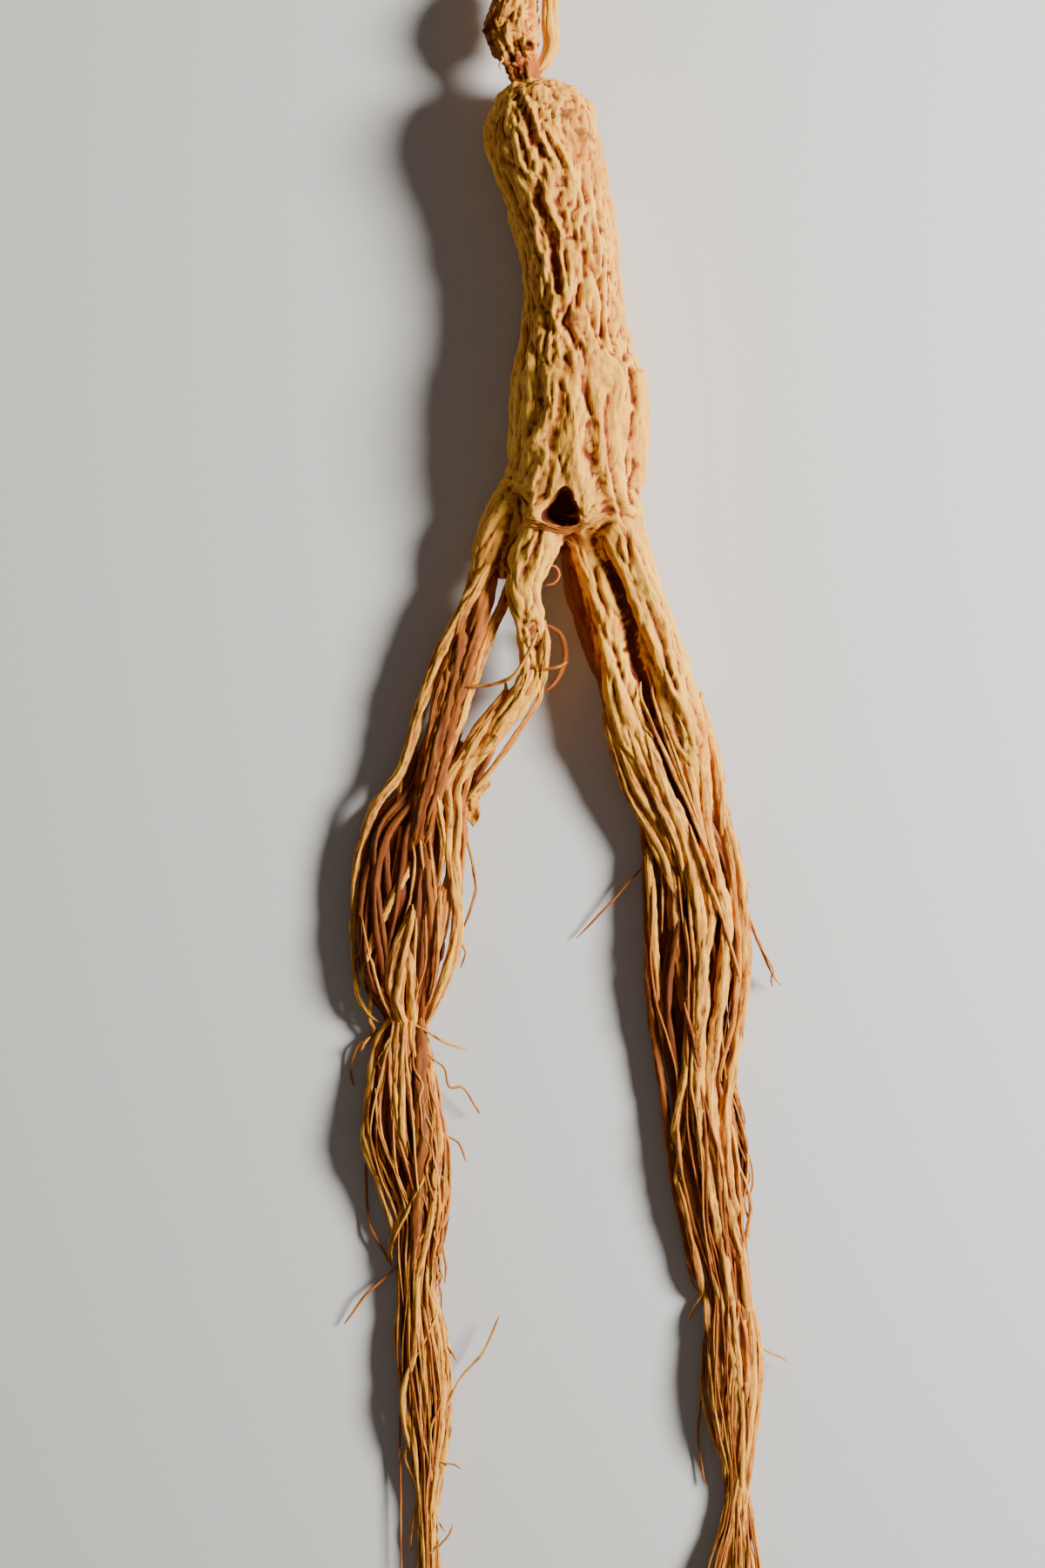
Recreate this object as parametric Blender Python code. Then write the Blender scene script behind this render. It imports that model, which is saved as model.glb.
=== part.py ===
"""A dried Asian ginseng root, lying on a table as lifted, washed and dried.

The whole root grew as one piece, so it is one solid: the knobbly neck that carried the stems,
the wrinkled main root, the limbs that it forks into, and the two legs of long rootlets, which
draw together at several waists. +Y points to the neck and +Z up. The origin lies in the flat
resting spot under the belly of the main root.
"""

import math
import random

import bmesh
import bpy
from mathutils import Vector, noise

# Sizes and places below are in millimetres.
MM = 0.001

# Main root
BODY_SIDES = 40
BODY_STEP = 3.3
FOLD_DEPTH = 2.3
FOLDS_AROUND = 1.8
FOLD_LENGTH = 14.0
FOLD_TWIST = 0.012
THICK_LIMB = 2.0
LIMB_FLUTE = 0.9
FLUTE_WIDTH = 2.4
# along, sideways, half width, half height, height of the middle
BODY_SECTIONS = (
    (58.4, -5.6, 3.4, 2.9, 8.6),
    (57.2, -5.6, 6.2, 5.2, 8.5),
    (55.0, -5.5, 8.2, 6.9, 8.3),
    (51.4, -5.5, 9.6, 8.1, 8.1),
    (47.9, -5.3, 10.1, 8.6, 8.2),
    (42.9, -4.2, 10.0, 8.6, 8.2),
    (38.6, -3.0, 9.5, 8.3, 8.1),
    (34.3, -1.9, 9.1, 8.0, 8.0),
    (28.6, -0.8, 8.8, 7.8, 8.0),
    (22.9, -0.2, 8.8, 7.8, 7.9),
    (18.6, -0.1, 9.1, 7.9, 7.8),
    (14.3, 0.2, 10.1, 8.2, 7.9),
    (10.0, 0.6, 11.2, 8.5, 8.1),
    (5.7, 0.7, 11.8, 8.6, 8.2),
    (0.0, 0.6, 11.9, 8.6, 8.1),
    (-5.7, 0.2, 11.8, 8.2, 7.9),
    (-10.0, 0.0, 10.8, 7.4, 7.7),
    (-14.3, 0.3, 7.2, 5.8, 7.4),
    (-17.0, 0.3, 3.4, 3.2, 7.2),
)

# Limbs and single strong rootlets: sideways, along, height, radius
LIMBS = {
    "inner_left": (
        (-2.9, -5.7, 8.5, 4.5),
        (-5.4, -14.3, 9.0, 4.6),
        (-7.1, -20.0, 8.8, 4.3),
        (-8.4, -24.3, 8.4, 3.7),
        (-7.9, -28.6, 8.0, 3.5),
        (-6.9, -33.6, 7.6, 3.0),
        (-6.6, -38.3, 7.2, 2.7),
        (-8.6, -43.1, 6.8, 2.8),
        (-11.9, -47.4, 6.5, 2.5),
        (-15.4, -51.7, 6.2, 2.0),
        (-18.6, -55.7, 6.0, 1.8),
        (-21.2, -61.4, 5.4, 1.5),
        (-25.6, -69.0, 4.6, 1.1),
    ),
    "outer_left": (
        (-5.0, -4.3, 6.5, 5.0),
        (-10.0, -11.4, 6.3, 4.2),
        (-13.6, -17.9, 6.0, 3.9),
        (-15.5, -23.6, 5.6, 3.6),
        (-17.0, -29.3, 5.2, 3.4),
        (-18.7, -37.1, 4.8, 3.1),
        (-20.8, -45.7, 4.6, 2.9),
        (-22.8, -54.3, 4.6, 2.6),
        (-24.8, -61.4, 4.6, 2.1),
        (-27.2, -69.0, 4.4, 1.1),
    ),
    "left_bow": (
        (-13.4, -20.0, 8.2, 1.0),
        (-16.4, -26.0, 7.6, 1.15),
        (-20.0, -31.7, 6.8, 1.1),
        (-22.9, -39.3, 6.2, 1.05),
        (-24.9, -47.1, 5.8, 1.0),
        (-27.4, -54.3, 5.4, 0.95),
        (-31.4, -58.9, 5.0, 0.95),
        (-34.6, -66.4, 4.6, 0.9),
        (-36.0, -75.7, 4.2, 0.9),
        (-36.4, -83.6, 3.8, 0.8),
        (-35.2, -90.0, 3.5, 0.75),
        (-31.0, -96.4, 3.0, 0.7),
    ),
    "left_middle": (
        (-10.7, -20.0, 6.5, 1.5),
        (-14.0, -27.1, 6.2, 1.4),
        (-15.8, -34.3, 5.8, 1.4),
        (-17.0, -41.4, 5.4, 1.3),
        (-19.3, -50.0, 5.0, 1.0),
        (-21.6, -58.6, 5.0, 1.0),
        (-25.6, -67.0, 4.6, 0.9),
    ),
    "left_pale": (
        (-9.4, -25.0, 6.2, 1.0),
        (-12.6, -32.9, 6.0, 1.1),
        (-15.3, -40.7, 6.0, 1.2),
        (-18.1, -46.4, 6.0, 1.1),
        (-20.7, -52.9, 6.2, 1.1),
        (-23.0, -60.0, 6.0, 1.0),
        (-26.2, -68.6, 5.0, 0.9),
    ),
    "outer_right": (
        (4.3, -2.9, 7.6, 5.4),
        (6.6, -12.9, 7.8, 5.0),
        (8.9, -20.0, 7.8, 4.3),
        (11.5, -27.1, 7.6, 4.1),
        (14.0, -34.3, 7.2, 4.2),
        (16.2, -41.4, 6.8, 4.3),
        (18.4, -48.6, 6.5, 4.2),
        (20.2, -55.7, 6.0, 3.8),
        (22.0, -62.1, 5.5, 2.9),
        (22.4, -68.1, 4.8, 1.6),
        (20.6, -75.0, 4.0, 1.0),
    ),
    "inner_right": (
        (0.3, -8.6, 6.0, 4.2),
        (1.7, -17.1, 6.4, 3.2),
        (3.6, -23.6, 6.6, 2.9),
        (5.3, -29.3, 6.6, 3.1),
        (6.9, -36.4, 6.4, 3.4),
        (7.9, -42.9, 6.0, 3.7),
        (9.9, -50.0, 5.6, 3.7),
        (12.8, -57.1, 5.3, 3.5),
        (15.6, -63.6, 5.0, 2.8),
        (17.9, -69.0, 4.5, 1.5),
        (19.6, -76.0, 4.0, 0.9),
    ),
    "under_right": (
        (-0.7, -12.9, 4.5, 3.0),
        (0.3, -25.7, 3.6, 2.2),
        (2.9, -34.3, 3.0, 2.0),
        (5.7, -44.3, 2.6, 1.8),
        (8.9, -54.3, 2.6, 1.6),
        (12.9, -62.6, 3.0, 1.3),
        (18.2, -72.0, 3.6, 0.9),
    ),
}

# Legs of rootlets: along, sideways, half width
LEFT_LEG = (
    (-57.1, -22.1, 6.9),
    (-64.3, -26.1, 8.6),
    (-71.4, -27.4, 8.7),
    (-78.6, -27.7, 8.9),
    (-85.7, -27.9, 8.4),
    (-91.4, -28.3, 6.6),
    (-96.4, -28.1, 3.5),
    (-101.4, -28.3, 4.7),
    (-107.1, -28.3, 5.9),
    (-114.3, -27.7, 7.0),
    (-121.4, -26.4, 6.1),
    (-128.6, -25.0, 4.7),
    (-135.7, -25.6, 4.1),
    (-142.9, -25.7, 3.7),
    (-151.4, -25.3, 4.3),
    (-160.0, -24.7, 4.0),
    (-168.6, -24.4, 2.9),
    (-174.3, -24.6, 1.9),
    (-185.7, -24.1, 1.9),
    (-194.3, -24.0, 2.4),
    (-205.7, -23.7, 1.8),
    (-215.7, -23.3, 0.9),
)
RIGHT_LEG = (
    (-61.4, 17.1, 7.4),
    (-65.7, 18.6, 6.9),
    (-71.4, 19.6, 7.6),
    (-78.6, 20.1, 8.0),
    (-85.7, 20.0, 8.3),
    (-92.9, 19.9, 7.6),
    (-100.0, 20.4, 6.6),
    (-105.7, 20.9, 5.7),
    (-112.9, 21.9, 6.4),
    (-120.0, 23.0, 6.3),
    (-128.6, 23.7, 5.1),
    (-135.7, 24.7, 4.0),
    (-141.4, 25.4, 3.4),
    (-148.6, 25.9, 4.9),
    (-157.1, 25.9, 5.0),
    (-164.3, 26.1, 4.0),
    (-172.1, 26.6, 2.0),
    (-178.6, 26.6, 2.7),
    (-185.7, 26.0, 4.3),
    (-194.3, 25.4, 4.9),
    (-204.3, 24.9, 3.7),
    (-217.0, 24.6, 1.4),
)
LEFT_LEG_FILL = 0.84
RIGHT_LEG_FILL = 1.0
LEG_FLATNESS = 0.4
LEG_LEAST_HALF_HEIGHT = 0.9
LEG_SINK = 0.15
LEG_STRANDS = 12
STRAND_RADII = (0.8, 1.15)
STRAND_TIP = 0.4
STRAND_REACH = (1.0, 0.72, 0.52)
STRAND_WANDER = 0.16
STRAND_STEP = 10.0
CORE_SHARE = 0.32
SEED = 7

# Neck: sideways, along, height, radius
NECK = (
    (-6.6, 52.5, 8.2, 3.4),
    (-8.0, 57.6, 8.3, 2.7),
    (-8.7, 60.6, 8.2, 3.2),
    (-9.8, 64.0, 7.8, 4.5),
    (-10.3, 67.4, 7.5, 4.8),
    (-9.8, 70.6, 7.2, 4.2),
    (-8.8, 74.0, 6.8, 3.2),
    (-8.2, 77.5, 6.4, 3.0),
    (-8.5, 80.8, 6.1, 3.5),
    (-8.9, 83.6, 5.7, 2.8),
    (-8.4, 86.6, 5.4, 3.3),
    (-7.8, 89.6, 5.1, 2.6),
    (-7.4, 92.4, 4.9, 1.8),
)
NECK_STEP = 2.8
NECK_ROOTLET = (
    (-6.4, 58.6, 8.4, 1.0),
    (-4.7, 61.1, 8.8, 1.1),
    (-3.7, 63.7, 8.9, 1.1),
    (-4.0, 67.1, 8.7, 1.0),
    (-3.9, 71.4, 8.4, 0.9),
    (-3.6, 77.0, 7.6, 0.75),
    (-2.9, 82.9, 6.2, 0.6),
    (-3.7, 87.1, 5.0, 0.5),
)

# Stem scars: place on the neck, and the way each one faces, as sideways, along, height
STEM_SCARS = (
    ((-7.5, 63.4, 11.2), (0.35, 0.1, 0.9)),
    ((-10.4, 60.8, 10.6), (-0.4, 0.1, 0.9)),
    ((-14.2, 66.8, 8.8), (-0.95, 0.1, 0.3)),
    ((-5.6, 78.6, 7.6), (0.9, 0.3, 0.5)),
    ((-10.8, 82.0, 7.8), (-0.6, 0.2, 0.8)),
    ((-5.9, 87.2, 6.6), (0.8, 0.2, 0.6)),
)
SCAR_RADIUS = 1.6
SCAR_HEIGHT = 0.9

# Rootlets that stray from the bundles: sideways, along, height, radius
STRAYS = (
    ((-28.0, -95.6, 2.6, 0.5), (-22.1, -99.3, 4.2, 0.35), (-18.6, -100.3, 3.6, 0.3)),
    ((-27.6, -99.0, 3.0, 0.5), (-20.7, -105.0, 4.0, 0.35), (-19.6, -107.4, 3.4, 0.35),
     (-16.4, -110.7, 2.2, 0.3), (-15.6, -111.6, 1.8, 0.3)),
    ((-27.0, -111.0, 3.6, 0.5), (-18.6, -116.9, 3.0, 0.35), (-17.9, -119.3, 2.4, 0.3)),
    ((-25.6, -132.6, 2.6, 0.5), (-31.4, -138.6, 2.0, 0.35), (-37.9, -146.0, 1.0, 0.3)),
    ((-24.4, -165.6, 2.4, 0.4), (-20.0, -157.1, 3.0, 0.35), (-14.3, -149.3, 3.2, 0.3),
     (-12.3, -144.7, 3.0, 0.3)),
    ((-28.4, -112.0, 3.4, 0.5), (-34.6, -120.0, 2.0, 0.35), (-34.3, -128.6, 1.4, 0.35),
     (-26.4, -138.0, 2.2, 0.4)),
    ((18.6, -64.6, 4.4, 0.5), (10.7, -71.4, 3.0, 0.35), (4.3, -78.6, 1.4, 0.3),
     (0.3, -82.6, 0.9, 0.3)),
    ((21.6, -72.6, 4.4, 0.5), (28.3, -78.6, 4.0, 0.45), (30.0, -82.9, 3.2, 0.4),
     (32.9, -88.6, 2.0, 0.35), (34.1, -90.3, 1.6, 0.3)),
    ((26.0, -145.6, 3.0, 0.5), (30.9, -150.0, 3.0, 0.35), (35.4, -152.3, 2.2, 0.3)),
    ((25.2, -135.6, 2.4, 0.5), (20.7, -140.7, 1.4, 0.35), (18.9, -145.7, 1.0, 0.3)),
    ((25.8, -151.0, 2.8, 0.5), (20.6, -158.6, 1.8, 0.35), (20.3, -164.3, 1.2, 0.35),
     (21.6, -172.6, 1.0, 0.3)),
    ((-6.4, -33.6, 9.6, 0.7), (-8.6, -38.6, 9.6, 0.5), (-12.9, -41.0, 9.0, 0.4),
     (-17.9, -41.3, 6.6, 0.35)),
    ((-6.4, -39.0, 8.6, 0.5), (-4.4, -38.2, 9.2, 0.4), (-1.3, -37.4, 9.4, 0.35)),
    ((-6.4, -28.8, 6.0, 0.5), (-2.2, -31.6, 5.4, 0.4), (-1.4, -35.2, 5.0, 0.4),
     (-2.9, -40.0, 5.2, 0.4), (-6.6, -42.6, 6.0, 0.4)),
    ((-6.6, -36.8, 7.4, 0.9), (-6.0, -42.4, 6.8, 0.7), (-8.8, -48.0, 6.0, 0.6),
     (-12.9, -54.3, 5.6, 0.6), (-17.0, -61.4, 5.4, 0.6)),
    ((-19.6, -58.6, 4.8, 0.6), (-17.1, -64.3, 4.4, 0.55), (-16.1, -73.0, 4.2, 0.5),
     (-18.1, -83.6, 4.4, 0.5), (-26.6, -95.0, 3.0, 0.5)),
    ((20.6, -98.0, 3.6, 0.6), (27.4, -106.6, 4.0, 0.45), (28.9, -117.6, 3.6, 0.45),
     (28.4, -126.6, 3.2, 0.4), (24.8, -136.6, 2.6, 0.5)),
)
STRAY_STEP = 6.0

# Hollow scar above the fork, and the skin left across its lower edge
PIT_MIDDLE = (-2.1, -11.3, 15.4)
PIT_RADII = (3.2, 2.9, 4.6)
SKIN_STRIP = (
    (-8.4, -14.0, 12.2, 0.55),
    (-5.2, -15.2, 13.6, 0.5),
    (-2.1, -15.8, 13.4, 0.5),
    (2.2, -14.6, 12.2, 0.55),
)

# The lowest points are pared flat by a slab, so that the root rests without rocking.
TABLE_SIZE = (120.0, 400.0, 10.0)
TABLE_ALONG = -60.0


def clear_scene():
    for obj in list(bpy.data.objects):
        bpy.data.objects.remove(obj, do_unlink=True)


def dried_root_material():
    """Pale straw skin, dry and matt."""
    material = bpy.data.materials.new("dried_root")
    material.use_nodes = True
    shader = material.node_tree.nodes["Principled BSDF"]
    shader.inputs["Base Color"].default_value = (0.62, 0.38, 0.16, 1.0)
    shader.inputs["Roughness"].default_value = 0.75
    shader.inputs["Metallic"].default_value = 0.0
    return material


def new_collection(name):
    collection = bpy.data.collections.new(name)
    bpy.context.scene.collection.children.link(collection)
    return collection


def smooth_route(points, step):
    """Catmull-Rom curve through tuples of any length, in steps of about that many millimetres."""
    route = []
    for i in range(len(points) - 1):
        before, start = points[max(i - 1, 0)], points[i]
        end, after = points[i + 1], points[min(i + 2, len(points) - 1)]
        pieces = max(1, round(math.dist(start[:3], end[:3]) / step))
        for k in range(pieces):
            t = k / pieces
            route.append(tuple(
                0.5 * (2 * b + (c - a) * t + (2 * a - 5 * b + 4 * c - d) * t ** 2
                       + (3 * b - a - 3 * c + d) * t ** 3)
                for a, b, c, d in zip(before, start, end, after)
            ))
    route.append(points[-1])
    return route


def tube(name, route, bevel_resolution, collection, flute=0.0):
    """A closed tube along (sideways, along, height, radius) points, as a mesh."""
    curve = bpy.data.curves.new(name, "CURVE")
    curve.dimensions = "3D"
    curve.bevel_depth = MM
    curve.bevel_resolution = bevel_resolution
    curve.use_fill_caps = True
    spline = curve.splines.new("POLY")
    spline.points.add(len(route) - 1)
    for point, (x, y, z, radius) in zip(spline.points, route):
        point.co = (x * MM, y * MM, z * MM, 1.0)
        point.radius = radius
    rod = bpy.data.objects.new(name, curve)
    collection.objects.link(rod)
    bpy.context.view_layer.update()
    depsgraph = bpy.context.evaluated_depsgraph_get()
    mesh = bpy.data.meshes.new_from_object(rod.evaluated_get(depsgraph))
    shape = bmesh.new()
    shape.from_mesh(mesh)
    bmesh.ops.remove_doubles(shape, verts=shape.verts, dist=0.01 * MM)
    bmesh.ops.recalc_face_normals(shape, faces=shape.faces)
    shape.normal_update()
    sunk = [flute * MM * crease(flute_place(vertex.co)) for vertex in shape.verts]
    for vertex, depth in zip(shape.verts, sunk):
        vertex.co -= vertex.normal * depth
    shape.to_mesh(mesh)
    shape.free()
    placed = bpy.data.objects.new(name, mesh)
    placed.matrix_world = rod.matrix_world
    collection.objects.link(placed)
    bpy.data.objects.remove(rod, do_unlink=True)
    bpy.data.curves.remove(curve)


def crease(place):
    """Ridged noise: 0 on a ridge, 1 in the crease between two."""
    return 1.0 - min(1.0, 2.4 * abs(noise.noise(place)))


def flute_place(point):
    """Where a point of a limb lies in the pattern of its long creases."""
    x, y, z = point / MM
    return Vector((x / FLUTE_WIDTH, y / FOLD_LENGTH, z / FLUTE_WIDTH))


def fold(angle, along):
    """How deep the long wrinkles are here on the main root, fading out under the belly."""
    turned = angle + FOLD_TWIST * along
    across = FOLDS_AROUND * math.cos(turned)
    up = FOLDS_AROUND * math.sin(turned)
    off_belly = min(1.0, max(0.0, (math.sin(angle) + 0.95) / 0.35))
    return off_belly * crease(Vector((across, up, along / FOLD_LENGTH)))


def main_root(collection):
    """The wrinkled main root, lofted through its unlike sections."""
    widest = max(section[2] for section in BODY_SECTIONS)
    shape = bmesh.new()
    rings = []
    for along, sideways, half_width, half_height, middle in smooth_route(BODY_SECTIONS, BODY_STEP):
        ring = []
        for i in range(BODY_SIDES):
            angle = math.tau * i / BODY_SIDES
            sunk = FOLD_DEPTH * fold(angle, along) * half_width / widest
            x = sideways + (half_width - sunk) * math.cos(angle)
            z = middle + (half_height - sunk) * math.sin(angle)
            ring.append(shape.verts.new((x * MM, along * MM, z * MM)))
        rings.append(ring)
    for upper, lower in zip(rings, rings[1:]):
        for i in range(BODY_SIDES):
            j = (i + 1) % BODY_SIDES
            shape.faces.new((upper[i], upper[j], lower[j], lower[i]))
    shape.faces.new(reversed(rings[0]))
    shape.faces.new(rings[-1])
    bmesh.ops.recalc_face_normals(shape, faces=shape.faces)
    mesh = bpy.data.meshes.new("ginseng_root")
    shape.to_mesh(mesh)
    shape.free()
    root = bpy.data.objects.new("ginseng_root", mesh)
    collection.objects.link(root)
    return root


def leg_half_height(half_width):
    """A leg is flat where it spreads, and nearly round at its waists."""
    return LEG_LEAST_HALF_HEIGHT + LEG_FLATNESS * half_width


def leg(name, stations, fill, seed, collection):
    """The rootlets of one leg, above and below a slim core by turns, across that share of it."""
    draw = random.Random(seed)
    stations = smooth_route(stations, STRAND_STEP)
    core = [(x, y, leg_half_height(w) - LEG_SINK, CORE_SHARE * w) for y, x, w in stations[1:-3]]
    tube(f"{name}_core", core, 1, collection)
    for i in range(LEG_STRANDS):
        lane = 2 * i / (LEG_STRANDS - 1) - 1
        layer = 1 if i % 2 else -1
        radius = draw.uniform(*STRAND_RADII)
        phase = draw.uniform(0.0, math.tau)
        first = draw.randint(0, 1)
        reach = STRAND_REACH[i % 3] * draw.uniform(0.92, 1.0)
        last = round(reach * (len(stations) - 1))
        route = []
        for k in range(first, last + 1):
            y, x, w = stations[k]
            share = (k - first) / (last - first)
            thick = radius * (1 - share) + STRAND_TIP * share
            apart = min(1.0, (k - first + 1) / 3)
            side = lane + STRAND_WANDER * math.sin(phase + y / 9)
            side = max(-1.0, min(1.0, side))
            across = max(fill * w - thick, 0.2) * apart * side
            up = max(leg_half_height(w) - thick, 0.2) * apart * layer * math.sqrt(1 - side * side)
            route.append((x + across, y, leg_half_height(w) - LEG_SINK + up, thick))
        tube(f"{name}_rootlet_{i + 1}", route, 1 if layer > 0 else 0, collection)


def stem_scars(collection):
    """The round pads on the neck, where the yearly stems fell off."""
    for i, (place, facing) in enumerate(STEM_SCARS):
        out = Vector(facing).normalized()
        middle = Vector(place)
        foot = middle - out * SCAR_RADIUS
        rim = middle + out * SCAR_HEIGHT
        route = [(*foot, 0.8 * SCAR_RADIUS), (*middle, SCAR_RADIUS), (*rim, 0.7 * SCAR_RADIUS)]
        tube(f"stem_scar_{i + 1}", route, 1, collection)


def fuse(root, pieces):
    """Joins every limb and rootlet to the main root as one body."""
    union = root.modifiers.new("fuse", "BOOLEAN")
    union.operation = "UNION"
    union.operand_type = "COLLECTION"
    union.collection = pieces
    bpy.context.view_layer.objects.active = root
    bpy.ops.object.modifier_apply(modifier=union.name)
    for piece in list(pieces.objects):
        bpy.data.objects.remove(piece, do_unlink=True)
    bpy.data.collections.remove(pieces)


def cut(root, name, size, collection):
    """Takes the active primitive out of the root, stretched to that size."""
    cutter = bpy.context.object
    cutter.name = name
    for owner in list(cutter.users_collection):
        owner.objects.unlink(cutter)
    collection.objects.link(cutter)
    for vertex in cutter.data.vertices:
        vertex.co = Vector(a * b * MM for a, b in zip(vertex.co, size))
    cutter.hide_render = True
    cutter.display_type = "WIRE"
    difference = root.modifiers.new(name, "BOOLEAN")
    difference.operation = "DIFFERENCE"
    difference.object = cutter
    bpy.context.view_layer.objects.active = root
    bpy.ops.object.modifier_apply(modifier=difference.name)


def drop_flaps(root):
    """Splits the faces into triangles, and drops each point left with two of them back to back."""
    shape = bmesh.new()
    shape.from_mesh(root.data)
    bmesh.ops.triangulate(shape, faces=shape.faces)
    flaps = [vertex for vertex in shape.verts if len(vertex.link_faces) == 2]
    while flaps:
        bmesh.ops.delete(shape, geom=flaps, context="VERTS")
        flaps = [vertex for vertex in shape.verts if len(vertex.link_faces) == 2]
    for face in shape.faces:
        face.smooth = True
    shape.to_mesh(root.data)
    shape.free()


def build():
    clear_scene()
    parts = new_collection("ginseng")
    pieces = new_collection("limbs_and_rootlets")
    cutters = new_collection("cutters")
    root = main_root(parts)
    for name, points in LIMBS.items():
        route = smooth_route(points, STRAND_STEP)
        if max(point[3] for point in points) > THICK_LIMB:
            tube(name, route, 3, pieces, LIMB_FLUTE)
        else:
            tube(name, route, 1, pieces)
    leg("left_leg", LEFT_LEG, LEFT_LEG_FILL, SEED, pieces)
    leg("right_leg", RIGHT_LEG, RIGHT_LEG_FILL, SEED + 1, pieces)
    tube("neck", smooth_route(NECK, NECK_STEP), 3, pieces)
    tube("neck_rootlet", smooth_route(NECK_ROOTLET, STRAND_STEP), 1, pieces)
    stem_scars(pieces)
    for i, points in enumerate(STRAYS):
        tube(f"stray_{i + 1}", smooth_route(points, STRAY_STEP), 0, pieces)
    tube("skin_strip", smooth_route(SKIN_STRIP, STRAY_STEP), 0, pieces)
    fuse(root, pieces)
    bpy.ops.mesh.primitive_uv_sphere_add(
        segments=14, ring_count=8, radius=1.0, location=Vector(PIT_MIDDLE) * MM
    )
    cut(root, "pit", PIT_RADII, cutters)
    table_place = Vector((0.0, TABLE_ALONG, -TABLE_SIZE[2] / 2))
    bpy.ops.mesh.primitive_cube_add(size=1.0, location=table_place * MM)
    cut(root, "table", TABLE_SIZE, cutters)
    drop_flaps(root)
    root.data.materials.clear()
    root.data.materials.append(dried_root_material())


build()
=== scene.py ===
"""A whole dried ginseng root lying on a pale table: neck, wrinkled main root, limbs and rootlets.

Sizes in the add-on's settings are in metres. Shapes are worked out in millimetres, in the part's
frame: +Y points to the neck, +X to the side of the two stout limbs, and +Z up from the table.
Lists of pixels are places in the photograph, which is 1200 pixels wide and 1800 high.
"""

import itertools
import math
import random

import bpy
import numpy as np
from bpy.props import FloatProperty, FloatVectorProperty, IntProperty, PointerProperty
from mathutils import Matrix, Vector


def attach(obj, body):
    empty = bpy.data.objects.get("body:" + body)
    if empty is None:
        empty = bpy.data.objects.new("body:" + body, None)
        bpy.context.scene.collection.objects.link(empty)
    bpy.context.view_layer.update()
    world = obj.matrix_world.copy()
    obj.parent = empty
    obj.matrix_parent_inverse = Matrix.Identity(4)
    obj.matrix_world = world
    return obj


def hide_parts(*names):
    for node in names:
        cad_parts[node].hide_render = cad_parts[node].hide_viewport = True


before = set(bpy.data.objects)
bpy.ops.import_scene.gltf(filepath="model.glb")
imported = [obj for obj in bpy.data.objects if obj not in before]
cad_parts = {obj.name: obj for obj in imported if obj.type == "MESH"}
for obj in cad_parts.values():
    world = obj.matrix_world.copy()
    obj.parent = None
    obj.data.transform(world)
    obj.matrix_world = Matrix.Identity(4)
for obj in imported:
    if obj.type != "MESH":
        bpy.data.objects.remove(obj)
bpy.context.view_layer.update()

bl_info = {
    "name": "Dried Ginseng Root",
    "version": (1, 0, 0),
    "blender": (4, 5, 0),
    "location": "3D View > Sidebar > Ginseng",
    "description": "Models a whole dried ginseng root with its neck, limbs and long rootlets",
    "category": "Add Mesh",
}

MM = 0.001
NODE = "ginseng_root"
BODY = "root"

# The photograph: the pixel at its middle, the pixel of the frame's origin, pixels to a
# millimetre at that height above the table, and the camera's rise above that height
PHOTO_MIDDLE = (600, 900)
PHOTO_ORIGIN = (660, 500)
PHOTO_SCALE = 7.0
PHOTO_LEVEL = 6.0
CAMERA_RISE = 714.0
CAMERA_LENS = 100.0
CAMERA_SENSOR = 36.0
CAMERA_NEAR = 0.05

# Lights: the place that both aim at, then each one's place from there and its size, in metres
LIGHT_AIM = (-0.002, -0.04, 0.0)
KEY_LIGHT = ((0.50, 0.10, 0.33), 0.20)
FILL_LIGHT = ((-0.2, -0.1, 0.9), 0.9)

# Main root: along, sideways, half width, half height, height of the middle
BODY_SECTIONS = (
    (58.4, -5.6, 3.4, 2.9, 8.6),
    (57.2, -5.6, 6.2, 5.2, 8.5),
    (55.0, -5.5, 8.2, 6.9, 8.3),
    (51.4, -5.5, 9.6, 8.1, 8.1),
    (47.9, -5.3, 10.1, 8.6, 8.2),
    (42.9, -4.2, 10.0, 8.6, 8.2),
    (38.6, -3.0, 9.5, 8.3, 8.1),
    (34.3, -1.9, 9.1, 8.0, 8.0),
    (28.6, -0.8, 8.8, 7.8, 8.0),
    (22.9, -0.2, 8.8, 7.8, 7.9),
    (18.6, -0.1, 9.1, 7.9, 7.8),
    (14.3, 0.2, 10.1, 8.2, 7.9),
    (10.0, 0.6, 11.2, 8.5, 8.1),
    (5.7, 0.7, 11.8, 8.6, 8.2),
    (0.0, 0.6, 11.9, 8.6, 8.1),
    (-5.7, 0.2, 11.8, 8.2, 7.9),
    (-10.0, 0.0, 10.8, 7.4, 7.7),
    (-14.3, 0.3, 7.2, 5.8, 7.4),
    (-17.0, 0.3, 3.4, 3.2, 7.2),
)
BODY_SIDES = 48

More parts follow.
